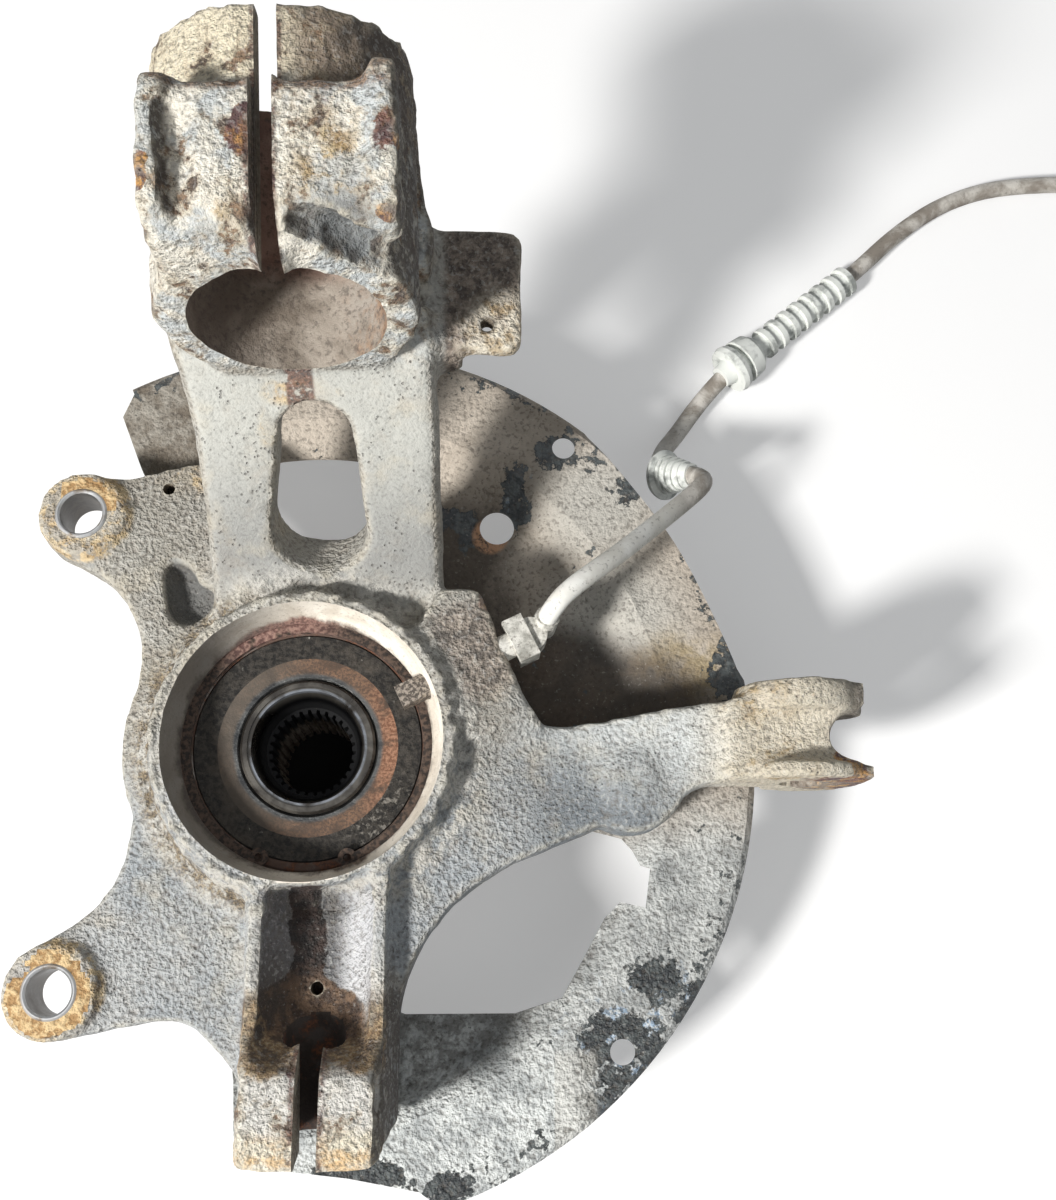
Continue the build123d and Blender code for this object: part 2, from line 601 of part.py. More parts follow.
save(knuckle_casting.part, "knuckle_casting")

# ---------------------------------------------------------------- caliper sleeves
for name, centre in (("caliper_sleeve_upper", EAR_UPPER), ("caliper_sleeve_lower", EAR_LOWER)):
    with BuildPart() as sleeve:
        with BuildSketch(Plane.XY.offset(WEB_BACK_Z - EAR_PAD_BACK - SLEEVE_PROUD)):
            with Locations(centre):
                Circle(SLEEVE_R)
                Circle(SLEEVE_BORE_R, mode=Mode.SUBTRACT)
        extrude(amount=WEB_THICKNESS + EAR_PAD_BACK + EAR_PAD_RISE + 2 * SLEEVE_PROUD)
        chamfer(sleeve.edges().filter_by(GeomType.CIRCLE), length=0.6)
    save(sleeve.part, name)

# ---------------------------------------------------------------- wheel bearing
BEARING_MID_Z = BEARING_BACK_Z + BEARING_WIDTH / 2
BALL_ROWS = {"outboard": BEARING_MID_Z - BALL_ROW_OFFSET, "inboard": BEARING_MID_Z + BALL_ROW_OFFSET}
BALL_R = BALL_D / 2
RACE_R = BALL_R + GROOVE_CLEARANCE
SEAL_SEAT_DEPTH = 5.5
with BuildPart() as bearing_outer_ring:
    with BuildSketch(Plane.XZ):
        with BuildLine():
            Polyline(
                (SEAT_R, BEARING_BACK_Z),
                (SEAT_R, BEARING_FRONT_Z),
                (OUTER_RING_INNER_R, BEARING_FRONT_Z),
                (OUTER_RING_INNER_R, BEARING_FRONT_Z - SEAL_SEAT_DEPTH),
                (RACE_SHOULDER_R, BEARING_FRONT_Z - SEAL_SEAT_DEPTH - 1),
                (RACE_SHOULDER_R, BEARING_BACK_Z + SEAL_SEAT_DEPTH + 1),
                (OUTER_RING_INNER_R, BEARING_BACK_Z + SEAL_SEAT_DEPTH),
                (OUTER_RING_INNER_R, BEARING_BACK_Z),
                close=True,
            )
        make_face()
        with Locations(*[(BALL_PITCH_R, z) for z in BALL_ROWS.values()]):
            Circle(RACE_R, mode=Mode.SUBTRACT)
    revolve(axis=Axis.Z)
    chamfer(bearing_outer_ring.edges().filter_by(GeomType.CIRCLE).filter_by(
        lambda e: abs(e.radius - SEAT_R) < 0.01), length=0.8)
save(bearing_outer_ring.part, "bearing_outer_ring")

RING_SPLIT_GAP = 0.2
for row, row_z in BALL_ROWS.items():
    outward = 1 if row == "inboard" else -1
    ring_outer_z = BEARING_MID_Z + outward * BEARING_WIDTH / 2
    ring_inner_z = BEARING_MID_Z + outward * RING_SPLIT_GAP / 2
    with BuildPart() as inner_ring:
        with BuildSketch(Plane.XZ):
            with Locations(((BEARING_BORE / 2 + INNER_RING_OUTER_R) / 2, (ring_outer_z + ring_inner_z) / 2)):
                Rectangle(INNER_RING_OUTER_R - BEARING_BORE / 2, abs(ring_outer_z - ring_inner_z))
            with Locations((BALL_PITCH_R, row_z)):
                Circle(RACE_R, mode=Mode.SUBTRACT)
        revolve(axis=Axis.Z)
        bore_edge = inner_ring.edges().filter_by(GeomType.CIRCLE).filter_by(
            lambda e: abs(e.radius - BEARING_BORE / 2) < 0.01).sort_by(Axis.Z)[-1 if outward > 0 else 0]
        chamfer(bore_edge, length=1.0)
    save(inner_ring.part, f"bearing_inner_ring_{row}")

    with BuildPart() as balls:
        with PolarLocations(BALL_PITCH_R, BALL_COUNT):
            with Locations((0, 0, row_z)):
                Sphere(BALL_R)
    save(balls.part, f"bearing_balls_{row}")

    with BuildPart() as cage:
        with BuildSketch(Plane.XY.offset(row_z - CAGE_WIDTH / 2 - outward * CAGE_OFFSET)):
            Circle(BALL_PITCH_R + CAGE_HALF_THICKNESS)
            Circle(BALL_PITCH_R - CAGE_HALF_THICKNESS, mode=Mode.SUBTRACT)
        extrude(amount=CAGE_WIDTH)
        with PolarLocations(BALL_PITCH_R, BALL_COUNT):
            with Locations((0, 0, row_z)):
                Sphere(BALL_R + CAGE_POCKET_CLEARANCE, mode=Mode.SUBTRACT)
    save(cage.part, f"bearing_cage_{row}")

ENCODER_R = OUTER_RING_INNER_R - 0.5
ENCODER_SLEEVE_T = 1.4
ENCODER_T = 1.5
SEAL_GAP = 0.3
with BuildPart() as encoder_seal:
    with BuildSketch(Plane.XZ):
        with BuildLine():
            Polyline(
                (INNER_RING_OUTER_R, BEARING_FRONT_Z - SEAL_SEAT_DEPTH),
                (INNER_RING_OUTER_R + ENCODER_SLEEVE_T, BEARING_FRONT_Z - SEAL_SEAT_DEPTH),
                (INNER_RING_OUTER_R + ENCODER_SLEEVE_T, BEARING_FRONT_Z - ENCODER_T),
                (ENCODER_R, BEARING_FRONT_Z - ENCODER_T),
                (ENCODER_R, BEARING_FRONT_Z),
                (INNER_RING_OUTER_R, BEARING_FRONT_Z),
                close=True,
            )
        make_face()
    revolve(axis=Axis.Z)
save(encoder_seal.part, "encoder_seal")

SEAL_T = 3.0
for row in BALL_ROWS:
    seal_z = BEARING_FRONT_Z - SEAL_SEAT_DEPTH if row == "inboard" else BEARING_BACK_Z + SEAL_SEAT_DEPTH - SEAL_T
    lip_r = INNER_RING_OUTER_R + SEAL_GAP + (ENCODER_SLEEVE_T if row == "inboard" else 0)
    with BuildPart() as seal:
        with BuildSketch(Plane.XY.offset(seal_z)):
            Circle(OUTER_RING_INNER_R)
            Circle(lip_r, mode=Mode.SUBTRACT)
        extrude(amount=SEAL_T)
    save(seal.part, f"bearing_seal_{row}")

# ---------------------------------------------------------------- snap ring
SNAP_RING_T = RING_GROOVE_WIDTH - 0.2
SNAP_RING_OUTER_R = SEAT_R + RING_GROOVE_DEPTH - 0.2
SNAP_RING_INNER_R = SEAT_R - 3.0
SNAP_RING_GAP_ANGLE = -90.0
with BuildPart() as snap_ring:
    with BuildSketch(Plane.XY.offset(GROOVE_BACK_Z + 0.1)):
        Circle(SNAP_RING_OUTER_R)
        Circle(SNAP_RING_INNER_R, mode=Mode.SUBTRACT)
        with Locations(at_angle(SEAT_R, SNAP_RING_GAP_ANGLE)):
            Rectangle(26, 16, mode=Mode.SUBTRACT)
        for side in (-1, 1):
            with Locations(at_angle(SNAP_RING_INNER_R + 0.8, SNAP_RING_GAP_ANGLE + side * 21.5)):
                Circle(3.0)
                Circle(1.3, mode=Mode.SUBTRACT)
    extrude(amount=SNAP_RING_T)
save(snap_ring.part, "snap_ring")

# ---------------------------------------------------------------- wheel hub
BORE_R = BEARING_BORE / 2
with BuildPart() as wheel_hub:
    with BuildSketch(Plane.XZ):
        with BuildLine():
            Polyline(
                (SPLINE_MINOR_R, NUT_POCKET_DEPTH - 2),
                (NUT_POCKET_R, NUT_POCKET_DEPTH - 2),
                (NUT_POCKET_R, -1),
                (PILOT_R - PILOT_WALL, -2),
                (PILOT_R - PILOT_WALL, -PILOT_HEIGHT),
                (PILOT_R - 1, -PILOT_HEIGHT),
                (PILOT_R, -PILOT_HEIGHT + 1),
                (PILOT_R, 0),
                (FLANGE_R - 1, 0),
                (FLANGE_R, 1),
                (FLANGE_R, FLANGE_THICKNESS - 2),
                (FLANGE_R - 2, FLANGE_THICKNESS),
                (HUB_SHOULDER_R + 6, FLANGE_THICKNESS),
                (HUB_SHOULDER_R, BEARING_BACK_Z - 1),
                (HUB_SHOULDER_R, BEARING_BACK_Z),
                (BORE_R, BEARING_BACK_Z),
                (BORE_R, HUB_NOSE_Z - 0.8),
                (BORE_R - 0.8, HUB_NOSE_Z),
                (NOSE_STEP_R, HUB_NOSE_Z),
                (NOSE_STEP_R, HUB_NOSE_Z - NOSE_STEP_DEPTH),
                (NOSE_CONE_R, HUB_NOSE_Z - NOSE_STEP_DEPTH),
                (SPLINE_MAJOR_R + 0.4, HUB_NOSE_Z - SPLINE_ENTRY_DEPTH),
                (SPLINE_MINOR_R, HUB_NOSE_Z - SPLINE_ENTRY_DEPTH - 1.2),
                close=True,
            )
        make_face()
    revolve(axis=Axis.Z)
    with BuildSketch(Plane.XY.offset(-1)):
        with PolarLocations(SPLINE_MINOR_R, SPLINE_TEETH):
            Trapezoid(2.0, 2.4, 78, rotation=-90)
    extrude(amount=HUB_NOSE_Z - SPLINE_ENTRY_DEPTH + 1, mode=Mode.SUBTRACT)
    with BuildSketch(Plane.XY.offset(-1)):
        with PolarLocations(WHEEL_PCD / 2, WHEEL_HOLE_COUNT, start_angle=90):
            Circle(WHEEL_HOLE_R)
    extrude(amount=FLANGE_THICKNESS + 2, mode=Mode.SUBTRACT)
save(wheel_hub.part, "wheel_hub")

# ---------------------------------------------------------------- brake dust shield
SHIELD_TAB_R = 9.0
SHIELD_LIP_DROP = 1.5
UPPER_SCREW, LOWER_SCREW, FRONT_SCREW = SHIELD_SCREWS
INNER_STEP_R, OUTER_STEP_R = SHIELD_STEP_R
with BuildPart() as brake_dust_shield:
    with BuildSketch(Plane.XZ):
        with BuildLine():
            Polyline(
                (SHIELD_HOUSING_R - 4, SHIELD_INNER_Z),
                (INNER_STEP_R, SHIELD_INNER_Z),
                (OUTER_STEP_R, SHIELD_OUTER_Z),
                (SHIELD_R - 2.5, SHIELD_OUTER_Z),
                (SHIELD_R - 0.5, SHIELD_OUTER_Z - SHIELD_LIP_DROP),
                (SHIELD_R + 0.5, SHIELD_OUTER_Z - SHIELD_LIP_DROP + 0.7),
                (SHIELD_R - 1.8, SHIELD_OUTER_Z + SHIELD_T),
                (OUTER_STEP_R - 0.4, SHIELD_OUTER_Z + SHIELD_T),
                (INNER_STEP_R - 0.4, SHIELD_INNER_Z + SHIELD_T),
                (SHIELD_HOUSING_R - 4, SHIELD_INNER_Z + SHIELD_T),
                close=True,
            )
        make_face()
    revolve(axis=Axis.Z)
    with BuildSketch(Plane.XY.offset(SHIELD_INNER_Z - 5)) as shield_outline:
        with BuildLine():
            lower_arc = CenterArc((0, 0), SHIELD_R + 5, -71.0, 71.0 + SHIELD_DENT[0][0] - 5)
            dent = Spline(*[at_angle(radius, angle) for angle, radius in SHIELD_DENT])
            upper_arc = CenterArc((0, 0), SHIELD_R + 5, SHIELD_DENT[-1][0] + 5, 113.0 - SHIELD_DENT[-1][0])
            Line(lower_arc @ 1, dent @ 0)
            Line(dent @ 1, upper_arc @ 0)
            Polyline(upper_arc @ 1, *SHIELD_FLAP, UPPER_SCREW, SHIELD_FLAP_INNER)
            top_arc = CenterArc((0, 0), SHIELD_TOP_INNER_R, 112, -40)
            top_root = Polyline(top_arc @ 1, SHIELD_TOP_ROOT, (SHIELD_TOP_ROOT[0] + 5, SHIELD_TOP_ROOT[1]))
            housing_arc = CenterArc((0, 0), SHIELD_HOUSING_R, 46.8, -67.3)
            Polyline(housing_arc @ 1, *SHIELD_BAY, LOWER_SCREW, *SHIELD_FOOT, lower_arc @ 0)
            Line(SHIELD_FLAP_INNER, top_arc @ 0)
            Line(top_root @ 1, housing_arc @ 0)
        make_face()
        with Locations(UPPER_SCREW, LOWER_SCREW):
            Circle(SHIELD_TAB_R)
        with Locations(*SHIELD_SCREWS):
            Circle(SCREW_R + 0.3, mode=Mode.SUBTRACT)
        with Locations(*[at_angle(SHIELD_R - inset, angle)
                         for angle, inset in zip(SHIELD_DRAIN_ANGLES, SHIELD_DRAIN_INSETS)]):
            Circle(SHIELD_DRAIN_R, mode=Mode.SUBTRACT)
        with Locations(SHIELD_PLUG_HOLE):
            Circle(SHIELD_PLUG_HOLE_R, mode=Mode.SUBTRACT)
    extrude(amount=SHIELD_OUTER_Z - SHIELD_INNER_Z + 10, mode=Mode.INTERSECT)
save(brake_dust_shield.part, "brake_dust_shield")

with BuildPart() as shield_screws:
    with Locations(*[(x, y, SHIELD_INNER_Z) for x, y in SHIELD_SCREWS]):
        Cylinder(SCREW_CORE_R, SCREW_LENGTH, align=(Align.CENTER, Align.CENTER, Align.MIN))
        Cylinder(SCREW_HEAD_R, SCREW_HEAD_HEIGHT, align=(Align.CENTER, Align.CENTER, Align.MAX))
save(shield_screws.part, "shield_screws")

# ---------------------------------------------------------------- sensor cable
CABLE_R = CABLE_D / 2
TIE_T = 1.2
TIE_WIDTH = 4.5
COIL_TURNS = 2
COIL_MID_R = 30.0
COIL_CENTRE = (345.0, 222.5)
COIL_Z = FLOOR_Z + TIE_T + CABLE_R
COIL_HALF_WIDTH = COIL_TURNS * CABLE_R
LEAD_IN_Y = COIL_CENTRE[1] + COIL_MID_R + COIL_HALF_WIDTH - CABLE_R
CABLE_FLOOR_Z = FLOOR_Z + CABLE_R
CABLE_ROUTE = (
    (79.5, 42.3, 71.0),
    (80.9, 44.1, 76.0),
    (85.1, 48.9, 79.0),
    (92.6, 55.3, 77.5),
    (104.5, 65.5, 70.5),
    (118.0, 79.0, 59.0),
    (129.0, 90.0, 50.3),
    (135.9, 96.9, 46.5),
    (139.3, 101.5, 43.5),
    (137.2, 106.1, 37.0),
    (127.2, 109.9, 26.0),
    (125.3, 116.8, 15.0),
    (128.8, 127.2, 5.0),
    (135.5, 136.5, -1.0),
    (144.5, 150.0, -2.6),
    (155.4, 161.9, 2.5),
    (169.2, 173.4, 1.4),
    (187.2, 189.2, -0.5),
    (211.7, 209.9, -2.7),
    (233.0, 231.4, CABLE_FLOOR_Z),
    (256.4, 247.6, CABLE_FLOOR_Z),
    (286.0, LEAD_IN_Y, CABLE_FLOOR_Z + 0.2),
    (338.0, LEAD_IN_Y, COIL_Z),
)


def cord_radii(points):
    """Radius of the arc at each inner point, as large as its two runs allow."""
    radii = []
    for before, corner, after in zip(points, points[1:], points[2:]):
        run_in = Vector(*corner) - Vector(*before)
        run_out = Vector(*after) - Vector(*corner)
        half_turn = radians(run_in.get_angle(run_out)) / 2
        radii.append(0.45 * min(run_in.length, run_out.length) / tan(half_turn))
    return radii


route_radii = cord_radii(CABLE_ROUTE)
with BuildPart() as cable_coil:
    with BuildSketch(Plane.XZ):
        with Locations((COIL_MID_R, COIL_Z)):
            SlotOverall(2 * COIL_HALF_WIDTH, CABLE_D)
    revolve(axis=Axis.Z)
coil_solid = cable_coil.part.moved(Location((*COIL_CENTRE, 0)))

with BuildPart() as abs_cable:
    with BuildLine() as cable_line:
        FilletPolyline(*CABLE_ROUTE, radius=route_radii)
    with BuildSketch(Plane(origin=CABLE_ROUTE[0], z_dir=cable_line.wires()[0] % 0)):
        Circle(CABLE_R)
    sweep()
    with BuildSketch(Plane.XY.offset(FLOOR_Z - 5)):
        with Locations(COIL_CENTRE):
            Circle(COIL_MID_R + COIL_HALF_WIDTH)
    extrude(amount=30, mode=Mode.SUBTRACT)
save(coil_solid, "cable_coil")
save(abs_cable.part, "abs_cable")

# ---------------------------------------------------------------- wheel speed sensor
HEAD_REACH, HEAD_WIDTH, HEAD_HEIGHT = SENSOR_HEAD
SENSOR_SEAT_R = SENSOR_PAD_R + 1.2
BARREL_R = HEAD_HEIGHT / 2 - 1
cable_exit_frame = Plane(origin=CABLE_ROUTE[0], z_dir=cable_line.wires()[0] % 0)
with BuildPart() as abs_sensor:
    with BuildSketch(sensor_frame.offset(SENSOR_TIP_REACH)):
        Rectangle(*SENSOR_TIP)
    extrude(amount=SENSOR_TIP_LENGTH)
    with BuildSketch(sensor_frame.offset(SENSOR_TIP_REACH + SENSOR_TIP_LENGTH - 0.5)):
        Circle(SENSOR_ROD_R)
    extrude(amount=SENSOR_SEAT_R - SENSOR_TIP_REACH - SENSOR_TIP_LENGTH + 1)
    with BuildSketch(sensor_frame.offset(SENSOR_SEAT_R)):
        Rectangle(HEAD_WIDTH, HEAD_HEIGHT - 3)
    extrude(amount=HEAD_REACH / 2)
    with BuildSketch(Plane.XY.offset(SENSOR_Z - HEAD_HEIGHT / 2 + 1)):
        with Locations(at_angle(SENSOR_SEAT_R + HEAD_REACH / 2, SENSOR_ANGLE)):
            Circle(BARREL_R)
    extrude(amount=HEAD_HEIGHT - 4)
    with BuildSketch(cable_exit_frame.offset(-6)):
        Circle(CABLE_R + 1.2)
    extrude(amount=7, taper=4)
    add(abs_cable, mode=Mode.SUBTRACT)
save(abs_sensor.part, "abs_sensor")

# ---------------------------------------------------------------- cable grommets
COLLAR_R = CABLE_R + 1.0
GROMMET_R = 10.2
RELIEF_CORE_R = CABLE_R + 1.5
RELIEF_R = RELIEF_CORE_R + 1.5
RELIEF_RINGS = 8
RELIEF_PITCH = 6.6
upper_axis = Plane(origin=(158.4, 164.4, FLOOR_Z + GROMMET_R + 0.1), z_dir=(0.7587, 0.6484, -0.073))
lower_axis = Plane(origin=(127.2, 109.9, 26.0), z_dir=(10.0, -3.8, 11.0))
with BuildPart() as cable_grommet_upper:
    with BuildSketch(Plane.XZ):
        with BuildLine():
            Polyline(
                (0, -6), (COLLAR_R, -6), (COLLAR_R + 1.1, -1.5),
                (GROMMET_R - 0.6, -1.5), (GROMMET_R, 0.6), (GROMMET_R - 0.6, 2.6),
                (6.6, 2.6), (6.6, 5.4), (GROMMET_R - 0.8, 5.4), (GROMMET_R - 1.4, 11),
                (RELIEF_R, 13.6), (RELIEF_CORE_R, 13.6),
                (RELIEF_CORE_R, 14 + RELIEF_RINGS * RELIEF_PITCH), (0, 14 + RELIEF_RINGS * RELIEF_PITCH),
                close=True,
            )
        make_face()
        with Locations(*[(RELIEF_R / 2, 14 + (n + 1) * RELIEF_PITCH - 1.2) for n in range(RELIEF_RINGS)]):
            Rectangle(RELIEF_R, 2.4)
    revolve(axis=Axis.Z)
upper_body = upper_axis.location * cable_grommet_upper.part
save(upper_body - abs_cable.part, "cable_grommet_upper")

LOWER_FLANGE_R = 9.5
with BuildPart() as cable_grommet_lower:
    with BuildSketch(Plane.XZ):
        with BuildLine():
            Polyline(
                (0, -6), (COLLAR_R, -6), (COLLAR_R + 1.1, -2),
                (LOWER_FLANGE_R - 0.6, -2), (LOWER_FLANGE_R, -0.8), (LOWER_FLANGE_R, 0), (8.0, 0.8), (7.4, 0.8),
                (7.4, 2.2), (6.4, 2.2), (6.4, 3.4), (6.9, 3.4), (6.9, 4.8), (5.8, 4.8), (5.8, 6.0),
                (6.2, 6.0), (6.2, 7.4), (5.3, 7.4), (5.3, 8.6), (5.6, 8.6), (5.4, 10.0), (COLLAR_R + 0.4, 10.0),
                (COLLAR_R, 13), (0, 13),
                close=True,
            )
        make_face()
    revolve(axis=Axis.Z)
lower_body = lower_axis.location * cable_grommet_lower.part
save(lower_body - abs_cable.part, "cable_grommet_lower")

# ---------------------------------------------------------------- cable end: connector and tie
CONNECTOR_ANGLE = -30.0
CONNECTOR_LENGTH = 24.0
CONNECTOR_WIDTH = 12.0
CONNECTOR_HEIGHT = 10.0
coil_top = COIL_Z + CABLE_R
connector_x, connector_y = at_angle(COIL_MID_R, CONNECTOR_ANGLE)
connector_frame = Plane(
    origin=(COIL_CENTRE[0] + connector_x, COIL_CENTRE[1] + connector_y, coil_top),
    x_dir=(*at_angle(1, CONNECTOR_ANGLE - 90), 0), z_dir=(0, 0, 1),
)
with BuildPart() as cable_connector:
    Box(CONNECTOR_LENGTH, CONNECTOR_WIDTH, CONNECTOR_HEIGHT, align=(Align.CENTER, Align.CENTER, Align.MIN))
    fillet(cable_connector.edges().filter_by(Axis.X), radius=2)
    with Locations((CONNECTOR_LENGTH / 2 - 4, 0, CONNECTOR_HEIGHT / 2)):
        Box(4, CONNECTOR_WIDTH + 2, CONNECTOR_HEIGHT - 2)
    with Locations((CONNECTOR_LENGTH / 2 - 6, 0, CONNECTOR_HEIGHT)):
        Box(9, 5, 2.4)
    with BuildSketch(Plane.YZ.offset(CONNECTOR_LENGTH / 2)):
        with Locations((0, CONNECTOR_HEIGHT / 2)):
            RectangleRounded(CONNECTOR_WIDTH - 3, CONNECTOR_HEIGHT - 3, radius=1.5)
    extrude(amount=-9, mode=Mode.SUBTRACT)
    with BuildSketch(Plane.YZ.offset(CONNECTOR_LENGTH / 2 - 9)):
        with Locations((-2, CONNECTOR_HEIGHT / 2), (2, CONNECTOR_HEIGHT / 2)):
            Rectangle(0.8, 0.8)
    extrude(amount=6)
save(connector_frame.location * cable_connector.part, "cable_connector")

TIE_ANGLE = 215.0
tie_x, tie_y = at_angle(COIL_MID_R, TIE_ANGLE)
tie_frame = Plane(
    origin=(COIL_CENTRE[0] + tie_x, COIL_CENTRE[1] + tie_y, COIL_Z),
    x_dir=(*at_angle(1, TIE_ANGLE), 0), z_dir=(*at_angle(1, TIE_ANGLE + 90), 0),
)
with BuildPart() as cable_tie:
    with BuildSketch(Plane.XY.offset(-TIE_WIDTH / 2)):
        SlotOverall(2 * COIL_HALF_WIDTH + 2 * TIE_T, CABLE_D + 2 * TIE_T)
        with Locations((COIL_HALF_WIDTH - 2, -CABLE_R - 1.8)):
            Rectangle(5, 3.6)
    extrude(amount=TIE_WIDTH)
tie_solid = tie_frame.location * cable_tie.part
save(tie_solid - coil_solid, "cable_tie")
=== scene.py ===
"""Looks of the steering knuckle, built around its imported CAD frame.

Lengths are in millimetres until MM turns them into Blender's metres. Only the noises' scales (per
metre), the camera's near clip, the lamps and the cord's declared length are in metres.
"""

from functools import reduce
from math import cos, pi, radians, sin, tan

import bmesh
import bpy
import numpy as np
from mathutils import Matrix, Vector, noise


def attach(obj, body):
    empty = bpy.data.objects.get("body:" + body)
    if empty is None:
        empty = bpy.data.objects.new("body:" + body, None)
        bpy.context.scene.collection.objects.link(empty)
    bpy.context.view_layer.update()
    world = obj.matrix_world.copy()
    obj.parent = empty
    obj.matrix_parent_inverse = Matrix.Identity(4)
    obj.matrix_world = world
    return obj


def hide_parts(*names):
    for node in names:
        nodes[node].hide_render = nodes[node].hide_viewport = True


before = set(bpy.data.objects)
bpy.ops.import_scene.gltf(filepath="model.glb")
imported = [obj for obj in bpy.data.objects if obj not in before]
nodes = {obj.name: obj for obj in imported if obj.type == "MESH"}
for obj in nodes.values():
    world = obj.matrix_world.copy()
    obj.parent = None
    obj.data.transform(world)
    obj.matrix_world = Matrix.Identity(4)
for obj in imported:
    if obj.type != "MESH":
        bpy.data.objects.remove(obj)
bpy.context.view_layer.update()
MM = 0.001
EARS = ((-81.0, 80.4), (-78.5, -78.9))
EAR_TOP = 62.0
STUD_X = 6.8
BRACKET_HOLE = (58.3, 119.0)

# ---- camera
CAMERA_AT = (56.7, -71.1, 526.9)
CAMERA_RIGHT = Vector((0.9994, 0.0, 0.0359))
CAMERA_UP = Vector((-0.0091, 0.9673, 0.2534))
LENS = 42.0
SENSOR_WIDTH = 36.0


def link(name, data):
    """A new object in the scene."""
    made = bpy.data.objects.new(name, data)
    bpy.context.collection.objects.link(made)
    return made


camera_data = bpy.data.cameras.new("camera")
camera_data.sensor_width = SENSOR_WIDTH
camera_data.lens = LENS
camera_data.clip_start = 0.01
camera = link("camera", camera_data)
right = CAMERA_RIGHT.normalized()
up = (CAMERA_UP - right * CAMERA_UP.dot(right)).normalized()
placed = Matrix((right, up, right.cross(up))).transposed().to_4x4()
placed.translation = Vector(CAMERA_AT) * MM
camera.matrix_world = placed
bpy.context.scene.camera = camera
bpy.context.scene.view_settings.view_transform = "Standard"


# ---- materials kit
class Surface:
    """A node material. Each input takes a number, a colour or another node's output."""

    def __init__(self, name):
        self.material = bpy.data.materials.new(name)
        self.material.use_nodes = True
        self.tree = self.material.node_tree
        self.bsdf = self.tree.nodes["Principled BSDF"]
        self.metres = self.tree.nodes.new("ShaderNodeTexCoord").outputs["Object"]
        self.place = self.vector("MULTIPLY", self.metres, [1 / MM] * 3)[0]
        self.x, self.y, self.z = self.node("SeparateXYZ", self.place).outputs

    def put(self, socket, value):
        if isinstance(value, bpy.types.NodeSocket):
            self.tree.links.new(value, socket)
        elif isinstance(value, (tuple, list)) and len(value) == 3 and socket.type == "RGBA":
            socket.default_value = (*value, 1.0)
        else:
            socket.default_value = value

    def node(self, kind, *values, **settings):
        """A shader node with its properties set and its first inputs filled."""
        node = self.tree.nodes.new("ShaderNode" + kind)
        for key, setting in settings.items():
            setattr(node, key, setting)
        for socket, value in zip(node.inputs, values):
            self.put(socket, value)
        return node

    def fill(self, node, **values):
        """Fills a node's inputs by name, with _ for a space."""
        for socket, value in values.items():
            self.put(node.inputs[socket.replace("_", " ")], value)

    def noise(self, scale, detail, rough=0.55, distortion=0.0):
        node = self.node("TexNoise", self.metres)
        self.fill(node, Scale=scale, Detail=detail, Roughness=rough, Distortion=distortion)
        return node.outputs["Fac"]

    def cells(self, scale):
        node = self.node("TexVoronoi", self.metres)
        self.fill(node, Scale=scale)
        return node.outputs["Distance"]

    def math(self, operation, a, b=0.0, clamp=False):
        return self.node("Math", a, b, operation=operation, use_clamp=clamp).outputs[0]

    def times(self, *factors):
        return reduce(lambda a, b: self.math("MULTIPLY", a, b), factors)

    def plus(self, *values):
        return reduce(lambda a, b: self.math("ADD", a, b), values)

    def most(self, *values):
        return reduce(lambda a, b: self.math("MAXIMUM", a, b), values)

    def off(self, value, middle):
        """Distance of a value from its middle."""
        return self.math("ABSOLUTE", self.math("SUBTRACT", value, middle))

    def wander(self, value, field, reach, middle=0.0):
        """A value moved to and fro by a field, which leaves it alone at its middle."""
        shift = self.math("SUBTRACT", field, middle) if middle else field
        return self.plus(value, self.times(shift, reach))

    def step(self, value, low, high, to_low=0.0, to_high=1.0):
        """Smooth 0 to 1 as value goes from low to high."""
        node = self.node("MapRange", interpolation_type="SMOOTHSTEP")
        self.fill(node, Value=value, From_Min=low, From_Max=high, To_Min=to_low, To_Max=to_high)
        return node.outputs["Result"]

    def band(self, value, start, full, fade, end):
        """0 outside start and end, 1 between full and fade."""
        return self.times(self.step(value, start, full), self.step(value, end, fade))

    def mix(self, fac, a, b):
        node = self.node("Mix", data_type="RGBA")
        for socket, value in ((0, fac), (6, a), (7, b)):
            self.put(node.inputs[socket], value)
        return node.outputs[2]

    def tones(self, field, low, high, first, second):
        """One colour below low, the other above high."""
        return self.mix(self.step(field, low, high), first, second)

    def lay(self, colour, coat, *shares):
        """A coat over a colour, as far as all its shares let it."""
        return self.mix(self.times(*shares), colour, coat)

    def coat(self, coat, *shares):
        self.colour = self.lay(self.colour, coat, *shares)

    def vector(self, operation, a, b=(0, 0, 0)):
        return self.node("VectorMath", a, b, operation=operation).outputs

    def near(self, point, inner, outer, stretch=(1, 1, 1)):
        """1 within inner millimetres of a point, 0 beyond outer."""
        apart = self.vector("SUBTRACT", self.place, point)[0]
        length = self.vector("LENGTH", self.vector("MULTIPLY", apart, stretch)[0])["Value"]
        return self.step(length, inner, outer, 1.0, 0.0)

    def near_any(self, patches):
        return self.most(*[self.near(*patch) for patch in patches])

    def radius(self):
        """Distance from the hub axis."""
        return self.math("SQRT", self.plus(self.math("POWER", self.x, 2.0), self.math("POWER", self.y, 2.0)))

    def facing(self, direction, low, high):
        """0 to 1 as the surface turns towards a fixed direction of the part."""
        normal = self.node("NewGeometry").outputs["Normal"]
        turned = self.vector("DOT_PRODUCT", normal, Vector(direction).normalized())["Value"]
        return self.step(turned, low, high)

    def pointed(self, low, high):
        """0 to 1 as the surface comes to an outer edge."""
        return self.step(self.node("NewGeometry").outputs["Pointiness"], low, high)

    def hollow(self, distance):
        """1 in crevices, 0 in the open."""
        node = self.node("AmbientOcclusion", samples=6)
        self.fill(node, Distance=distance * MM)
        return self.math("SUBTRACT", 1.0, node.outputs["AO"])

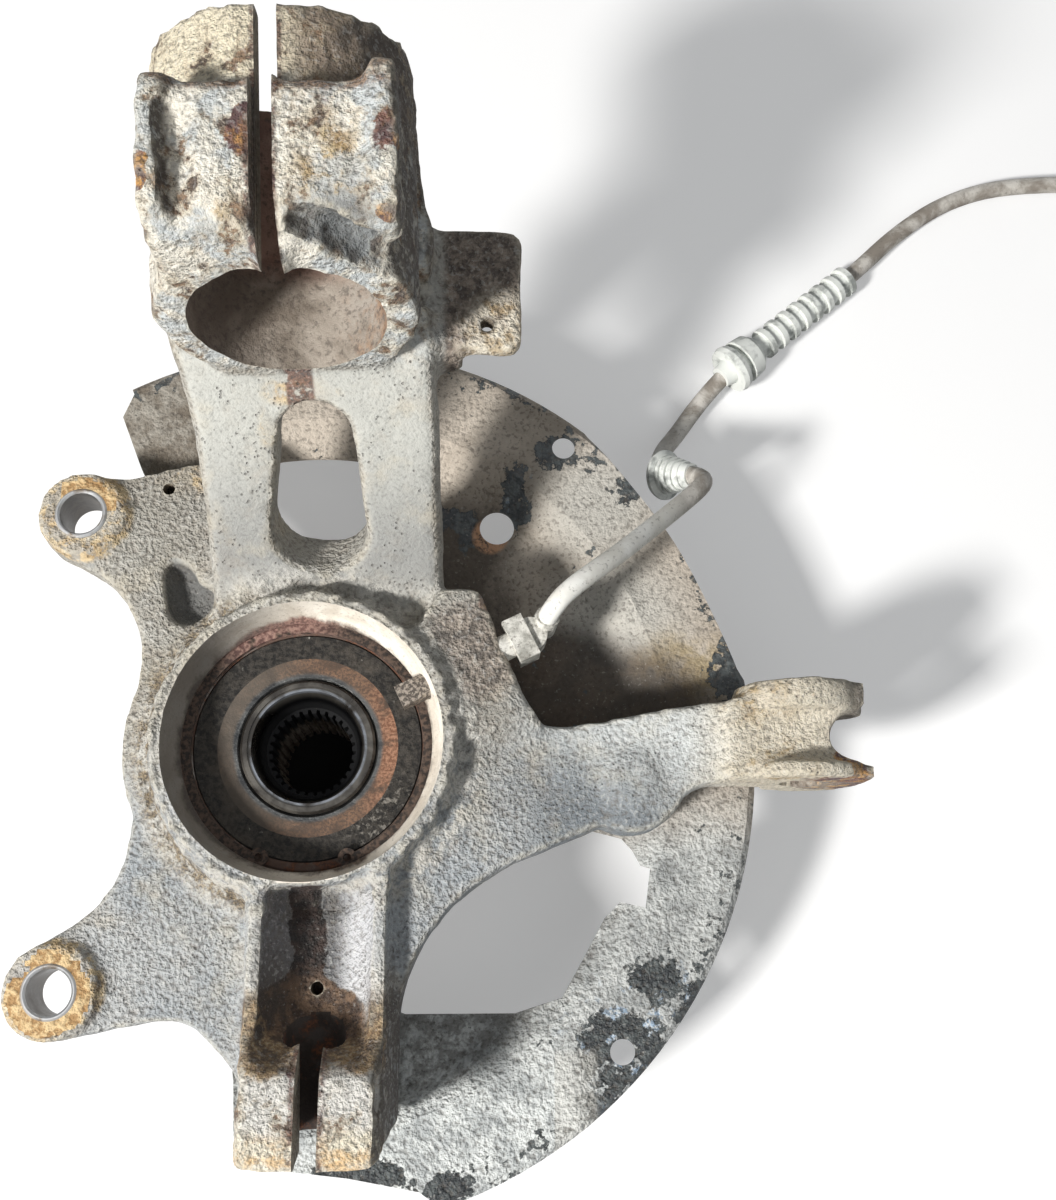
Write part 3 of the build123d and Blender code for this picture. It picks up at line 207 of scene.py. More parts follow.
    def finish(self, roughness, relief, strength, distance, metallic=0.0):
        bump = self.node("Bump")
        self.fill(bump, Height=relief, Strength=strength, Distance=distance * MM)
        self.fill(self.bsdf, Base_Color=self.colour, Roughness=roughness, Normal=bump.outputs[0],
                  Metallic=metallic)
        return self.material


EARTH = (0.14, 0.1, 0.07)
DUST = (0.6, 0.53, 0.4)
RUST = (0.24, 0.095, 0.045)
RUST_DARK = (0.085, 0.045, 0.035)
NECK_FACING = (0, -0.782, 0.623)

# places on the casting: point, inner and outer reach, and stretch
RUST_PATCHES = (
    ((-3.4, 131.4, 215.7), 2.5, 8.5, (1, 0.75, 1)), ((32, 131, 215.6), 2.5, 9, (1.3, 0.7, 1)),
    ((33, 110, 213), 1, 5), ((-28, 121, 215), 1.5, 6, (1.6, 0.6, 1)),
    ((2, 112, 212), 3, 9, (1.8, 0.35, 1)), ((34, 88, 209), 4, 12),
    ((-16, 101, 207), 1, 4), ((176, -11, 58), 10, 24, (1, 1.6, 1)),
    ((21, -83, 80), 2, 9), ((2, -98, 88), 2, 8, (2, 0.7, 1)),
    ((62, 49, 73), 3, 12),
)
OCHRE_PATCHES = (
    ((1.3, 98.8, 126.3), 3, 9, (0.6, 1.8, 1)), ((-9.5, 90.7, 116), 1.5, 7, (1.7, 0.6, 1)),
    ((-30, 84, 200), 4, 22), ((-12, -94, 88), 5, 15, (1, 1.2, 1)),
    ((22, -92, 88), 5, 15, (1, 1.2, 1)), ((-6, -127, 88), 3, 12, (0.7, 1.4, 1)),
    ((22, -124, 88), 3, 12, (0.8, 1.3, 1)), ((150, 20, 66), 5, 20),
    ((156, -7, 70), 5, 20, (1, 1.4, 1)), ((-46, 98, 58), 3, 14),
    ((10, 190, 170), 14, 44), ((18, 120, 214), 4, 16, (1.2, 0.6, 1)),
    ((-8, 104, 210), 3, 13, (1, 0.8, 1)),
)


def iron_zones(s):
    """The noises and the zones of the casting that its looks share."""
    s.broad = s.noise(24, 4, 0.6, 0.3)
    s.mottle = s.noise(95, 7, 0.64)
    s.lumps = s.noise(230, 7, 0.66)
    s.grain = s.noise(640, 2.5, 0.5)
    s.sand = s.noise(900, 3, 0.62)
    s.around = s.radius()
    s.arm = s.step(s.x, 62, 85)
    s.arm_end = s.step(s.wander(s.x, s.broad, 30), 137, 167)
    s.column = s.times(s.step(s.y, -60, -92), s.step(s.z, 60, 80))
    s.neck = s.times(s.facing(NECK_FACING, 0.8, 0.97), s.step(s.y, 45, 60))
    s.head = s.step(s.wander(s.z, s.broad, 10), 136, 150)
    s.rim = s.times(s.band(s.around, 46.2, 48.5, 54.5, 62), s.step(s.z, 56, 61))
    s.rough_skin = s.most(s.head, s.rim, s.arm_end, s.column)
    s.pocket = s.times(s.near((-44.5, 56, 51), 8.5, 13.5, (1, 0.85, 1)), s.step(s.z, 57.5, 54))
    s.gully = s.times(s.near((22, 112.5, 201), 8, 17, (0.75, 1.6, 0.95)), s.step(s.y, 109, 110.8))
    from_middle = s.wander(s.off(s.x, 2.8), s.mottle, 12, 0.5)
    half_width = s.step(s.y, -72, -84, 5.6, 20)
    s.trough = s.times(s.step(s.math("DIVIDE", from_middle, half_width), 1.15, 0.85),
                       s.band(s.y, -100, -94, -46.5, -43.5), s.step(s.z, 77.5, 72))
    s.scab = s.noise(100, 7, 0.7, 0.2)
    s.scab_zone = s.plus(s.times(s.most(s.head, s.column), 0.85), 0.08)
    s.blotch = s.times(s.step(s.scab, 0.565, 0.615), s.scab_zone)
    s.pit = s.times(s.step(s.cells(560), 0.3, 0.16), s.step(s.mottle, 0.49, 0.58))


def iron_skin(s):
    """Colour of each part of the casting under its dust, with painted shade at the eye's right end and at
    the neck's foot, and painted light and shade across the barrel's top.
    """
    blue_grey = s.tones(s.broad, 0.36, 0.62, (0.335, 0.36, 0.38), (0.43, 0.44, 0.44))
    brown_grey = s.tones(s.broad, 0.36, 0.62, (0.335, 0.315, 0.275), (0.45, 0.435, 0.395))
    s.colour = s.tones(s.wander(s.y, s.mottle, 30), -20, 35, blue_grey, brown_grey)
    aslant = s.wander(s.y, s.x, 0.35, 100)
    s.coat(s.tones(aslant, -26, 14, (0.2, 0.222, 0.24), (0.68, 0.7, 0.69)), s.arm)
    # painted shade: the eye's right end dark brown, where it turns away from the light
    s.coat(s.tones(s.x, 173, 187, (0.8, 0.73, 0.6), (0.15, 0.13, 0.11)), s.arm_end)
    s.coat((0.8, 0.775, 0.725), s.column)
    # painted shade: the neck's face darker towards its foot, in the concave fillet above the rim
    s.coat(s.tones(s.y, 60, 95, (0.33, 0.33, 0.315), (0.525, 0.525, 0.485)), s.neck)
    s.coat(s.tones(s.noise(55, 6, 0.6), 0.44, 0.54, (0.66, 0.69, 0.69), (0.95, 0.9, 0.79)), s.head)
    # the barrel's top: cream dust at its left and dark brown at its right, partly as painted light and
    # shade, the light falling from the left
    s.coat(s.tones(s.x, 0, 12, (0.88, 0.79, 0.6), (0.31, 0.245, 0.185)), s.head, s.step(s.y, 149, 155))
    s.coat((0.66, 0.64, 0.59), s.rim, s.step(s.lumps, 0.4, 0.56))
    s.coat(DUST, s.step(s.noise(58, 6, 0.62), 0.5, 0.7), 0.35)


def iron_stains(s):
    """Ochre and rust where water stood, and scabs."""
    ears = [s.times(s.near((x, y, EAR_TOP), 15.5, 18.5), 1.3) for x, y in EARS]
    specks = s.step(s.wander(s.mottle, s.lumps, 0.7), 0.82, 0.98)
    stained = s.most(s.near_any(OCHRE_PATCHES), *ears)
    ochre = s.math("MULTIPLY", stained, s.plus(specks, 0.15), clamp=True)
    s.coat(s.tones(s.lumps, 0.4, 0.62, (0.42, 0.28, 0.13), (0.66, 0.52, 0.32)), ochre)

    s.coat(s.tones(s.lumps, 0.42, 0.58, (0.42, 0.31, 0.19), (0.66, 0.56, 0.41)),
           s.step(s.scab, 0.49, 0.58), s.scab_zone, 0.6)
    s.coat(s.tones(s.lumps, 0.42, 0.58, (0.085, 0.056, 0.045), (0.33, 0.21, 0.125)), s.blotch)

    rusted = s.step(s.wander(s.near_any(RUST_PATCHES), s.mottle, 2.4, 0.5), 0.5, 0.62)
    orange = s.tones(s.mottle, 0.45, 0.54, (0.25, 0.125, 0.095), (0.66, 0.35, 0.11))
    s.coat(s.tones(s.lumps, 0.44, 0.56, (0.125, 0.068, 0.066), orange), rusted)
    lug_top = s.times(s.band(s.y, 141.2, 144, 149.5, 153), s.step(s.z, 190, 197))
    s.coat(s.tones(s.sand, 0.42, 0.58, RUST_DARK, (0.34, 0.19, 0.1)), lug_top,
           s.step(s.lumps, 0.36, 0.52), 0.85)


def iron_column(s):
    """The column's trough with its flanks, the ball joint clamp's top and foot, and the slots' edges."""
    # the trough's floor: near black towards its top, dark brown lower down; dirt together with painted shade
    black = s.tones(s.lumps, 0.4, 0.6, (0.01, 0.007, 0.006), (0.04, 0.025, 0.02))
    brown = s.tones(s.lumps, 0.4, 0.6, (0.055, 0.035, 0.025), (0.19, 0.12, 0.075))
    s.coat(s.tones(s.y, -68, -82, black, brown), s.trough)
    from_slot = s.off(s.x, STUD_X)
    # painted shade on the trough's left flank and at the foot of its right flank, rising to a painted
    # highlight up the right flank
    right_flank_shade_to_highlight = s.tones(s.x, 10, 18.5, (0.06, 0.058, 0.062), (0.66, 0.66, 0.68))
    s.coat(s.tones(s.x, 3, 6, (0.105, 0.096, 0.1), right_flank_shade_to_highlight),
           s.band(s.y, -90, -78, -50, -44), s.step(s.z, 77.5, 73),
           s.step(from_slot, 21, 18), s.step(s.trough, 0.9, 0.2), 0.8)
    tan_earth = s.tones(s.sand, 0.42, 0.6, (0.34, 0.215, 0.11), (0.55, 0.4, 0.23))
    s.coat(s.tones(s.lumps, 0.4, 0.6, (0.12, 0.078, 0.048), tan_earth),
           s.step(s.wander(s.y, s.mottle, 22), -93, -89), s.step(s.y, -76, -83),
           s.step(s.z, 68, 75), s.step(s.lumps, 0.3, 0.4, 0.55, 0.97))
    s.coat(s.tones(s.mottle, 0.42, 0.56, (0.86, 0.56, 0.25), (0.95, 0.88, 0.72)),
           s.step(s.wander(s.y, s.mottle, -20), -125, -133), s.step(s.z, 66, 74), 0.8)
    stud_slot = s.times(s.step(from_slot, 6.2, 4.4), s.step(s.y, -88, -94))
    from_strut_slot = s.math("ABSOLUTE", s.wander(s.x, s.y, 0.03, 145))
    strut_slot = s.times(s.step(from_strut_slot, 5, 3.6), s.step(s.y, 80, 90))
    s.coat(s.tones(s.sand, 0.4, 0.6, (0.075, 0.042, 0.035), (0.2, 0.105, 0.075)),
           s.most(stud_slot, strut_slot), s.step(s.lumps, 0.4, 0.52), 0.9)


def iron_places(s):
    """The rim's foot; painted shade in the pocket, in the lug's gully, inside the bracket hole and on the
    right-facing sides; the tab with painted shadow and light; and the sensor's pad.
    """
    s.coat(s.tones(s.sand, 0.4, 0.58, (0.085, 0.06, 0.038), (0.36, 0.27, 0.15)),
           s.band(s.around, 50, 52.5, 54, 62), s.step(s.z, 67, 63),
           s.step(s.lumps, 0.62, 0.44), s.step(s.x, -13, -20), 0.85)
    # painted shade: the pocket by the rim dark as a recess
    s.coat(s.mix(s.lumps, (0.03, 0.034, 0.038), (0.17, 0.17, 0.165)), s.pocket, 0.85)
    # painted shade: the gully under the lug dark
    s.coat(s.tones(s.lumps, 0.4, 0.6, (0.075, 0.078, 0.078), (0.25, 0.26, 0.26)), s.gully, 0.8)
    # painted shade: dark brown on the sides of the head and the column that face right, away from the light
    s.coat((0.052, 0.04, 0.032), s.facing((1, 0, 0.15), 0.55, 0.85),
           s.most(s.head, s.step(s.y, -60, -85)), s.step(s.lumps, 0.64, 0.5, 0.35, 0.92))
    # the tab: dark brown over most of it as painted shadow of the clamp, and pale at its lower right corner
    # as painted light
    earth = s.tones(s.lumps, 0.38, 0.62, (0.075, 0.058, 0.048), (0.34, 0.28, 0.23))
    pale = s.tones(s.lumps, 0.36, 0.56, (0.42, 0.31, 0.18), (0.8, 0.73, 0.6))
    tab = s.lay(earth, pale, s.near((66, 114, 134), 9, 21), s.step(s.mottle, 0.34, 0.52))
    s.coat(tab, s.step(s.x, 43, 47), s.step(s.y, 98, 104), s.step(s.z, 140, 136))
    # painted shade: the bracket hole dark inside, with a dark ring round its mouth
    s.coat((0.06, 0.045, 0.035), s.near((*BRACKET_HOLE, 134), 2.2, 3.6, (1, 1, 0.1)),
           s.step(s.z, 138.5, 136.5), 0.9)
    s.coat(s.tones(s.lumps, 0.42, 0.58, (0.085, 0.066, 0.055), (0.36, 0.3, 0.25)),
           s.near((54, 30, 72), 12, 22), s.step(s.around, 52, 56), 0.8)


def iron_grain(s):
    """Edges lighter as wear and painted highlight, pits, grains, and dirt with painted shade in crevices."""
    # edges lighter by pointiness: wear together with painted highlight
    s.coat((0.78, 0.72, 0.58), s.pointed(0.515, 0.56), 0.4)
    s.coat((0.085, 0.072, 0.062), s.pit, 0.45)
    s.coat((0.14, 0.135, 0.13), s.step(s.sand, 0.47, 0.32), s.step(s.neck, 0, 1, 0.18, 0.36))
    plain = s.math("SUBTRACT", 1, s.most(s.neck, s.trough, s.pocket, s.gully), clamp=True)
    s.coat((0.12, 0.1, 0.08), s.step(s.grain, 0.48, 0.34), s.wander(0.08, plain, 0.38))
    s.coat((0.8, 0.79, 0.75), s.step(s.grain, 0.55, 0.68), plain, 0.25)
    s.coat((0.82, 0.8, 0.74), s.step(s.sand, 0.6, 0.74, 0, 0.22))
    # darker where ambient occlusion finds crevices: earth together with painted shade
    crevice_dirt_and_shade = s.step(s.wander(s.hollow(8), s.lumps, 0.5, 0.5), 0.36, 0.75)
    s.coat(s.tones(s.sand, 0.4, 0.6, (0.055, 0.038, 0.026), (0.2, 0.15, 0.1)), crevice_dirt_and_shade, 0.85)


def iron_relief(s):
    """Pitted on the head, rim, column and eye, smoother on the neck and the arm."""
    creases = s.off(s.noise(170, 5, 0.6), 0.5)
    depth = s.plus(s.times(s.rough_skin, 1.9), 0.45, s.times(s.neck, -0.35))
    smoother = s.most(s.neck, s.times(s.arm, 0.55))
    return s.plus(s.times(s.lumps, depth), s.times(s.sand, 0.28),
                  s.times(s.grain, s.step(smoother, 0, 1, 1.45, 0.2)),
                  s.times(creases, s.rough_skin, 1.6), s.times(s.mottle, 0.5),
                  s.times(s.pit, -0.35), s.times(s.blotch, -0.25))


def cast_iron():
    """Sand-cast iron: grey skin under dust, earth and painted shade in the hollows, painted light and shade
    in places, and rust where water stood.
    """
    s = Surface("cast_iron_sand")
    for layer in (iron_zones, iron_skin, iron_stains, iron_column, iron_places, iron_grain):
        layer(s)
    return s.finish(s.step(s.sand, 0.3, 0.7, 0.95, 0.7), iron_relief(s), 1, 1.3)


def machined(name, colour, dirt, dirt_share, rust_share, roughness, metallic):
    """Turned steel or iron with dirt and rust in patches."""
    s = Surface(name)
    fine = s.noise(1100, 4, 0.65)
    patch = s.noise(85, 7, 0.66, 0.4)
    s.colour = s.lay(colour, [c * 0.55 for c in colour], s.step(fine, 0.35, 0.65, 0, 0.45))
    dirty = s.step(patch, 0.6 - dirt_share * 0.35, 0.78 - dirt_share * 0.35)
    s.coat(dirt, dirty)
    rusty = s.step(s.noise(140, 7, 0.68, 0.3), 0.66 - rust_share * 0.4, 0.82 - rust_share * 0.4)
    s.coat(s.tones(fine, 0.4, 0.6, RUST_DARK, RUST), rusty, 0.85)
    coated = s.most(dirty, rusty)
    rough = s.math("ADD", s.times(coated, 0.45), roughness, clamp=True)
    metal = s.times(s.math("SUBTRACT", 1, coated), metallic)
    return s.finish(rough, s.wander(fine, patch, 1.5), 0.45, 0.35, metal)


def inner_race():
    """Inner bearing ring: a polished band at the bore, brown rust outside it."""
    s = Surface("race_steel_rusted")
    fine = s.noise(1000, 4, 0.65)
    patch = s.noise(110, 6, 0.62, 0.3)
    rust = s.tones(patch, 0.38, 0.62, (0.075, 0.05, 0.036), (0.215, 0.125, 0.078))
    rust = s.tones(fine, 0.4, 0.6, s.mix(patch, (0.05, 0.036, 0.028), (0.13, 0.085, 0.06)), rust)
    rust = s.lay(rust, s.tones(fine, 0.4, 0.6, (0.17, 0.075, 0.042), (0.37, 0.2, 0.125)),
                 s.step(s.x, 16, 28), s.step(patch, 0.4, 0.56))
    rust = s.lay(rust, s.mix(patch, (0.055, 0.047, 0.038), (0.2, 0.175, 0.145)), s.step(s.x, 4, -20), 0.7)
    grown = s.step(s.wander(s.radius(), patch, 1.6), 25, 26.4)
    steel = s.tones(patch, 0.35, 0.65, (0.045, 0.046, 0.047), (0.125, 0.125, 0.12))
    s.colour = s.mix(grown, steel, rust)
    return s.finish(s.step(grown, 0, 1, 0.34, 0.85),
                    s.plus(fine, patch), 0.6, 0.5, s.times(s.math("SUBTRACT", 1, grown), 0.85))


def gritty_ring():
    """Rubber faced seal ring under black grit, with pale stones stuck in it."""
    s = Surface("encoder_grit")
    grit = s.noise(520, 6, 0.68)
    patch = s.noise(60, 5, 0.6)
    s.colour = s.tones(grit, 0.38, 0.62, (0.01, 0.009, 0.008), (0.06, 0.053, 0.045))
    crumbs = s.times(s.near((26, -22, 60), 6, 20), s.step(s.noise(480, 5, 0.7), 0.52, 0.58))
    s.coat((0.27, 0.25, 0.22), crumbs, 0.85)
    s.coat((0.15, 0.125, 0.1), s.step(patch, 0.5, 0.68, 0, 0.4))
    stone = s.times(s.step(s.cells(360), 0.24, 0.17), s.step(s.noise(130, 3), 0.6, 0.66))
    s.coat((0.5, 0.48, 0.43), stone)
    return s.finish(0.85, s.plus(grit, s.times(stone, 0.6), s.times(crumbs, 0.9)), 1, 1.3)


def hub_nose():
    """Hub: oily black steel, its bore painted near black as shade, and a painted highlight ring at the edge
    of the bore's cone.
    """
    s = Surface("hub_steel")
    radius = s.radius()
    fine = s.noise(800, 4, 0.6)
    patch = s.noise(90, 5, 0.6, 0.4)
    s.colour = s.tones(patch, 0.4, 0.66, (0.045, 0.04, 0.035), (0.125, 0.115, 0.1))
    # painted shade: the bore near black inside
    s.coat((0.0035, 0.0035, 0.004), s.step(radius, 18.8, 17.2))
    # painted highlight: a pale ring at the edge of the bore's cone
    s.coat((0.22, 0.235, 0.26), s.band(radius, 18.4, 18.7, 19.4, 19.9), s.step(patch, 0.4, 0.6))
    s.coat(s.tones(patch, 0.4, 0.6, (0.16, 0.12, 0.09), (0.32, 0.27, 0.22)), s.step(s.z, 34, 26))
    rough = s.most(s.step(patch, 0.3, 0.7, 0.22, 0.45), s.step(radius, 18, 16, 0, 0.75))
    return s.finish(rough, fine, 0.2, 0.2, 0.6)


def mouth_cone():
    """Tapered mouth of the housing: pale dust, browner towards the bearing, pink at the upper left, with
    painted shade on its left side and the pale reaching deeper on its right, partly as painted light.
    """
    s = Surface("machined_cone")
    fine = s.noise(900, 4, 0.65)
    patch = s.noise(70, 6, 0.64, 0.4)
    # the pale dust reaches deeper on the right side, partly as painted light
    depth = s.plus(s.wander(s.z, patch, 10, 0.5), s.step(s.x, 18, 38, 0, 2.2))
    s.colour = s.tones(patch, 0.36, 0.62, (0.7, 0.63, 0.53), (0.92, 0.86, 0.76))
    brown = s.tones(fine, 0.4, 0.6, (0.055, 0.04, 0.032), (0.24, 0.185, 0.145))
    pink = s.tones(fine, 0.4, 0.6, (0.17, 0.085, 0.072), (0.42, 0.25, 0.2))
    crust = s.lay(brown, pink, s.near((-16, 42, 64), 12, 34, (1, 1.4, 0.4)))
    s.coat(crust, s.step(depth, 66.8, 64.2))
    s.coat((0.22, 0.17, 0.13), s.step(fine, 0.45, 0.32, 0, 0.4))
    # painted shade: darker towards the cone's left side
    s.coat((0.095, 0.086, 0.078), s.step(s.x, 6, -34, 0, 0.78))
    return s.finish(0.8, s.plus(fine, patch), 0.5, 0.4)


def seat_wall(name, light):
    """Bearing seat and circlip: black-brown crust, with old pink rust at the upper left."""
    s = Surface(name)
    fine = s.noise(620, 4, 0.6)
    patch = s.noise(120, 5, 0.6)
    s.colour = s.tones(fine, 0.4, 0.6, (0.022, 0.016, 0.013), light)
    s.coat(s.tones(fine, 0.4, 0.6, (0.13, 0.065, 0.055), (0.34, 0.21, 0.17)),
           s.near((-14, 42, 62), 10, 30, (1, 1.4, 0.4)), s.step(patch, 0.36, 0.5))
    return s.finish(0.85, s.plus(fine, patch), 0.8, 0.8)


def strut_bore():
    """Bore of the strut clamp: earth grey, a rubbed bright patch, rust towards its right and its top, and
    painted shade towards its left.
    """
    s = Surface("strut_bore_wall")
    fine = s.noise(520, 6, 0.66)
    patch = s.noise(60, 6, 0.62, 0.4)
    s.colour = s.tones(patch, 0.36, 0.62, (0.2, 0.165, 0.13), (0.39, 0.34, 0.285))
    s.coat((0.44, 0.42, 0.4), s.near((16, 118, 175), 5, 20, (1, 0.8, 0.5)), s.step(patch, 0.36, 0.6), 0.8)
    s.coat(s.tones(fine, 0.4, 0.6, (0.16, 0.085, 0.05), (0.36, 0.22, 0.13)),
           s.step(s.x, 10, 27), s.step(s.noise(95, 7, 0.66, 0.4), 0.44, 0.6), 0.8)
    s.coat(s.tones(patch, 0.4, 0.6, (0.27, 0.145, 0.11), (0.42, 0.26, 0.2)), s.step(s.y, 126, 138, 0, 0.85))
    # painted shade: darker towards the bore's left side
    s.coat(s.mix(patch, (0.05, 0.035, 0.028), (0.15, 0.11, 0.085)), s.step(s.x, -2, -24, 0, 0.7))
    s.coat((0.07, 0.055, 0.045), s.step(fine, 0.5, 0.36, 0, 0.6))
    return s.finish(0.85, s.plus(fine, patch), 0.8, 0.8)


def dusty(name, colour, dust, share, roughness=0.85, scale=180, bump=0.3):
    """Rubber, plastic or paint under a coat of dust."""
    s = Surface(name)
    fine = s.noise(scale * 4, 5, 0.6)
    patch = s.noise(scale, 6, 0.6, 0.3)
    s.colour = s.tones(fine, 0.3, 0.7, [c * 0.7 for c in colour], colour)
    s.coat(dust, s.step(patch, 0.75 - share * 0.6, 0.95 - share * 0.6))
    return s.finish(roughness, s.plus(fine, patch), bump, 0.25)


def ear_face():
    """End face of an ear: ochre crust with a dark lip, grey and pitted outside it."""
    s = Surface("ear_crust")
    fine = s.noise(700, 5, 0.66)
    lumps = s.noise(380, 3.5, 0.55)
    patch = s.noise(110, 5, 0.6)
    ring = s.wander(s.near_any([((x, y, EAR_TOP), 8.5, 18.5) for x, y in EARS]), patch, 0.9, 0.5)
    ochre = s.tones(lumps, 0.42, 0.58, (0.4, 0.24, 0.105), (0.72, 0.53, 0.29))
    rind = s.tones(lumps, 0.4, 0.6, (0.15, 0.12, 0.085), (0.56, 0.51, 0.4))
    s.colour = s.tones(ring, 0.3, 0.42, rind, ochre)
    s.coat((0.11, 0.065, 0.04), s.band(ring, 0.18, 0.3, 0.34, 0.46), s.step(lumps, 0.56, 0.42))
    s.coat((0.12, 0.08, 0.05), s.step(fine, 0.44, 0.32, 0, 0.5))
    relief = s.plus(s.times(lumps, 1.3), s.times(s.step(ring, 0.26, 0.36), 0.8), s.times(fine, 0.3))
    return s.finish(0.9, relief, 1, 1.2)


def sleeve_steel():
    """Pressed-in sleeve: bright turned end, brown-grey wall inside."""
    s = Surface("sleeve_steel")
    fine = s.noise(900, 4, 0.6)
    patch = s.noise(120, 5, 0.6, 0.4)
    wall = s.tones(patch, 0.38, 0.6, (0.035, 0.031, 0.028), (0.13, 0.12, 0.11))
    end = s.tones(patch, 0.5, 0.66, (0.46, 0.46, 0.46), (0.2, 0.16, 0.12))
    s.colour = s.lay(wall, end, s.step(s.z, 61.2, 62.2))
    return s.finish(s.step(patch, 0.3, 0.7, 0.32, 0.55), fine, 0.3, 0.2, 0.7)


def sensor_body():
    """Wheel speed sensor: dusty plastic head, its tip in the housing browner."""
    s = Surface("sensor_body")
    fine = s.noise(800, 5, 0.6)
    patch = s.noise(190, 6, 0.62, 0.3)
    s.colour = s.tones(patch, 0.38, 0.6, (0.36, 0.35, 0.31), (0.74, 0.72, 0.66))
    s.coat(s.tones(fine, 0.42, 0.6, (0.05, 0.04, 0.032), (0.36, 0.31, 0.26)), s.step(s.radius(), 50, 48.5))
    s.coat((0.12, 0.1, 0.085), s.step(fine, 0.46, 0.34, 0, 0.6))
    return s.finish(0.7, s.plus(fine, patch), 0.6, 0.5)


def cable_jacket():
    """Lead: chalky white by the sensor, brown-grey further on."""
    s = Surface("cable_jacket")
    fine = s.noise(700, 5, 0.62)
    patch = s.noise(60, 6, 0.62, 0.4)
    white = s.tones(patch, 0.36, 0.6, (0.72, 0.7, 0.64), (0.9, 0.89, 0.84))
    grey = s.tones(patch, 0.38, 0.6, (0.25, 0.22, 0.185), (0.62, 0.59, 0.54))
    s.colour = s.lay(white, grey, s.step(s.wander(s.x, patch, 40, 0.5), 116, 136))
    s.coat((0.16, 0.14, 0.12), s.step(fine, 0.44, 0.32, 0, 0.5))
    return s.finish(s.step(patch, 0.3, 0.7, 0.75, 0.5), fine, 0.25, 0.25)


# places on the shield: point, inner and outer reach, and stretch
SHIELD_FLAKES = (
    ((118.4, -75.3, 42), 4, 15), ((106, -99, 42), 9, 22), ((131.6, -85, 42), 5, 16),
    ((98, -113.3, 42), 3, 13), ((70, 99, 36), 3, 15, (1.3, 0.8, 1)),
    ((40, 88, 38), 2, 12, (0.7, 1.4, 1)), ((147, 26, 42), 5, 16, (1.3, 0.7, 1)),
    ((84, 112, 36), 6, 14), ((110, 98, 42), 2, 12),
    ((20, -136, 42), 3, 12, (0.6, 1.5, 1)), ((48, -140, 42), 3, 12, (0.7, 1.5, 1)),
    ((52, 84, 36), 2, 10, (1.6, 0.8, 1)),
)
PALE_AND_LIT_PATCHES = (((106.5, 50, 36), 9, 36), ((100, 92, 38), 8, 34))
PAD_SHADE = (((82, 28, 40), 17, 33, (0.75, 1.25, 0.3)),
             ((104, 16, 40), 20, 38, (0.8, 1.2, 0.3)))


def sheet_mud(s, mottle):
    """Brown earth above the hub's height, grey mud below, darker at its left end, with painted shadow beside
    the neck and the sensor's pad, and pale patches that are partly painted light.
    """
    broad = s.noise(15, 5, 0.6, 0.7)
    brown = s.tones(broad, 0.36, 0.62, (0.33, 0.28, 0.225), (0.58, 0.51, 0.43))
    # pale mud on the upper sheet, together with painted light on the pressed boss
    brown = s.lay(brown, (0.56, 0.54, 0.49), s.near_any(PALE_AND_LIT_PATCHES), 0.9)
    brown = s.lay(brown, (0.46, 0.37, 0.23), s.near((131, 30, 41), 6, 22, (0.7, 1, 1)),
                  s.step(mottle, 0.35, 0.6))
    grey = s.tones(mottle, 0.36, 0.64, (0.34, 0.35, 0.345), (0.62, 0.63, 0.61))
    grey = s.lay(grey, s.tones(mottle, 0.36, 0.6, (0.42, 0.44, 0.44), (0.74, 0.76, 0.74)),
                 s.step(s.y, -85, -120))
    s.colour = s.lay(brown, grey, s.step(s.wander(s.y, broad, 30), 12, -20))
    s.coat(s.tones(mottle, 0.4, 0.6, (0.19, 0.16, 0.125), (0.4, 0.37, 0.32)), s.step(s.x, -30, -45))
    # painted shadow of the neck on the sheet to its right
    s.coat(s.mix(mottle, (0.025, 0.02, 0.016), (0.1, 0.075, 0.055)),
           s.step(s.wander(s.x, mottle, 30, 0.5), 78, 56), s.band(s.y, -10, 20, 86, 102), 0.85)
    s.coat(s.tones(mottle, 0.4, 0.6, (0.026, 0.018, 0.013), (0.075, 0.052, 0.036)),
           s.near_any(PAD_SHADE), 0.85)


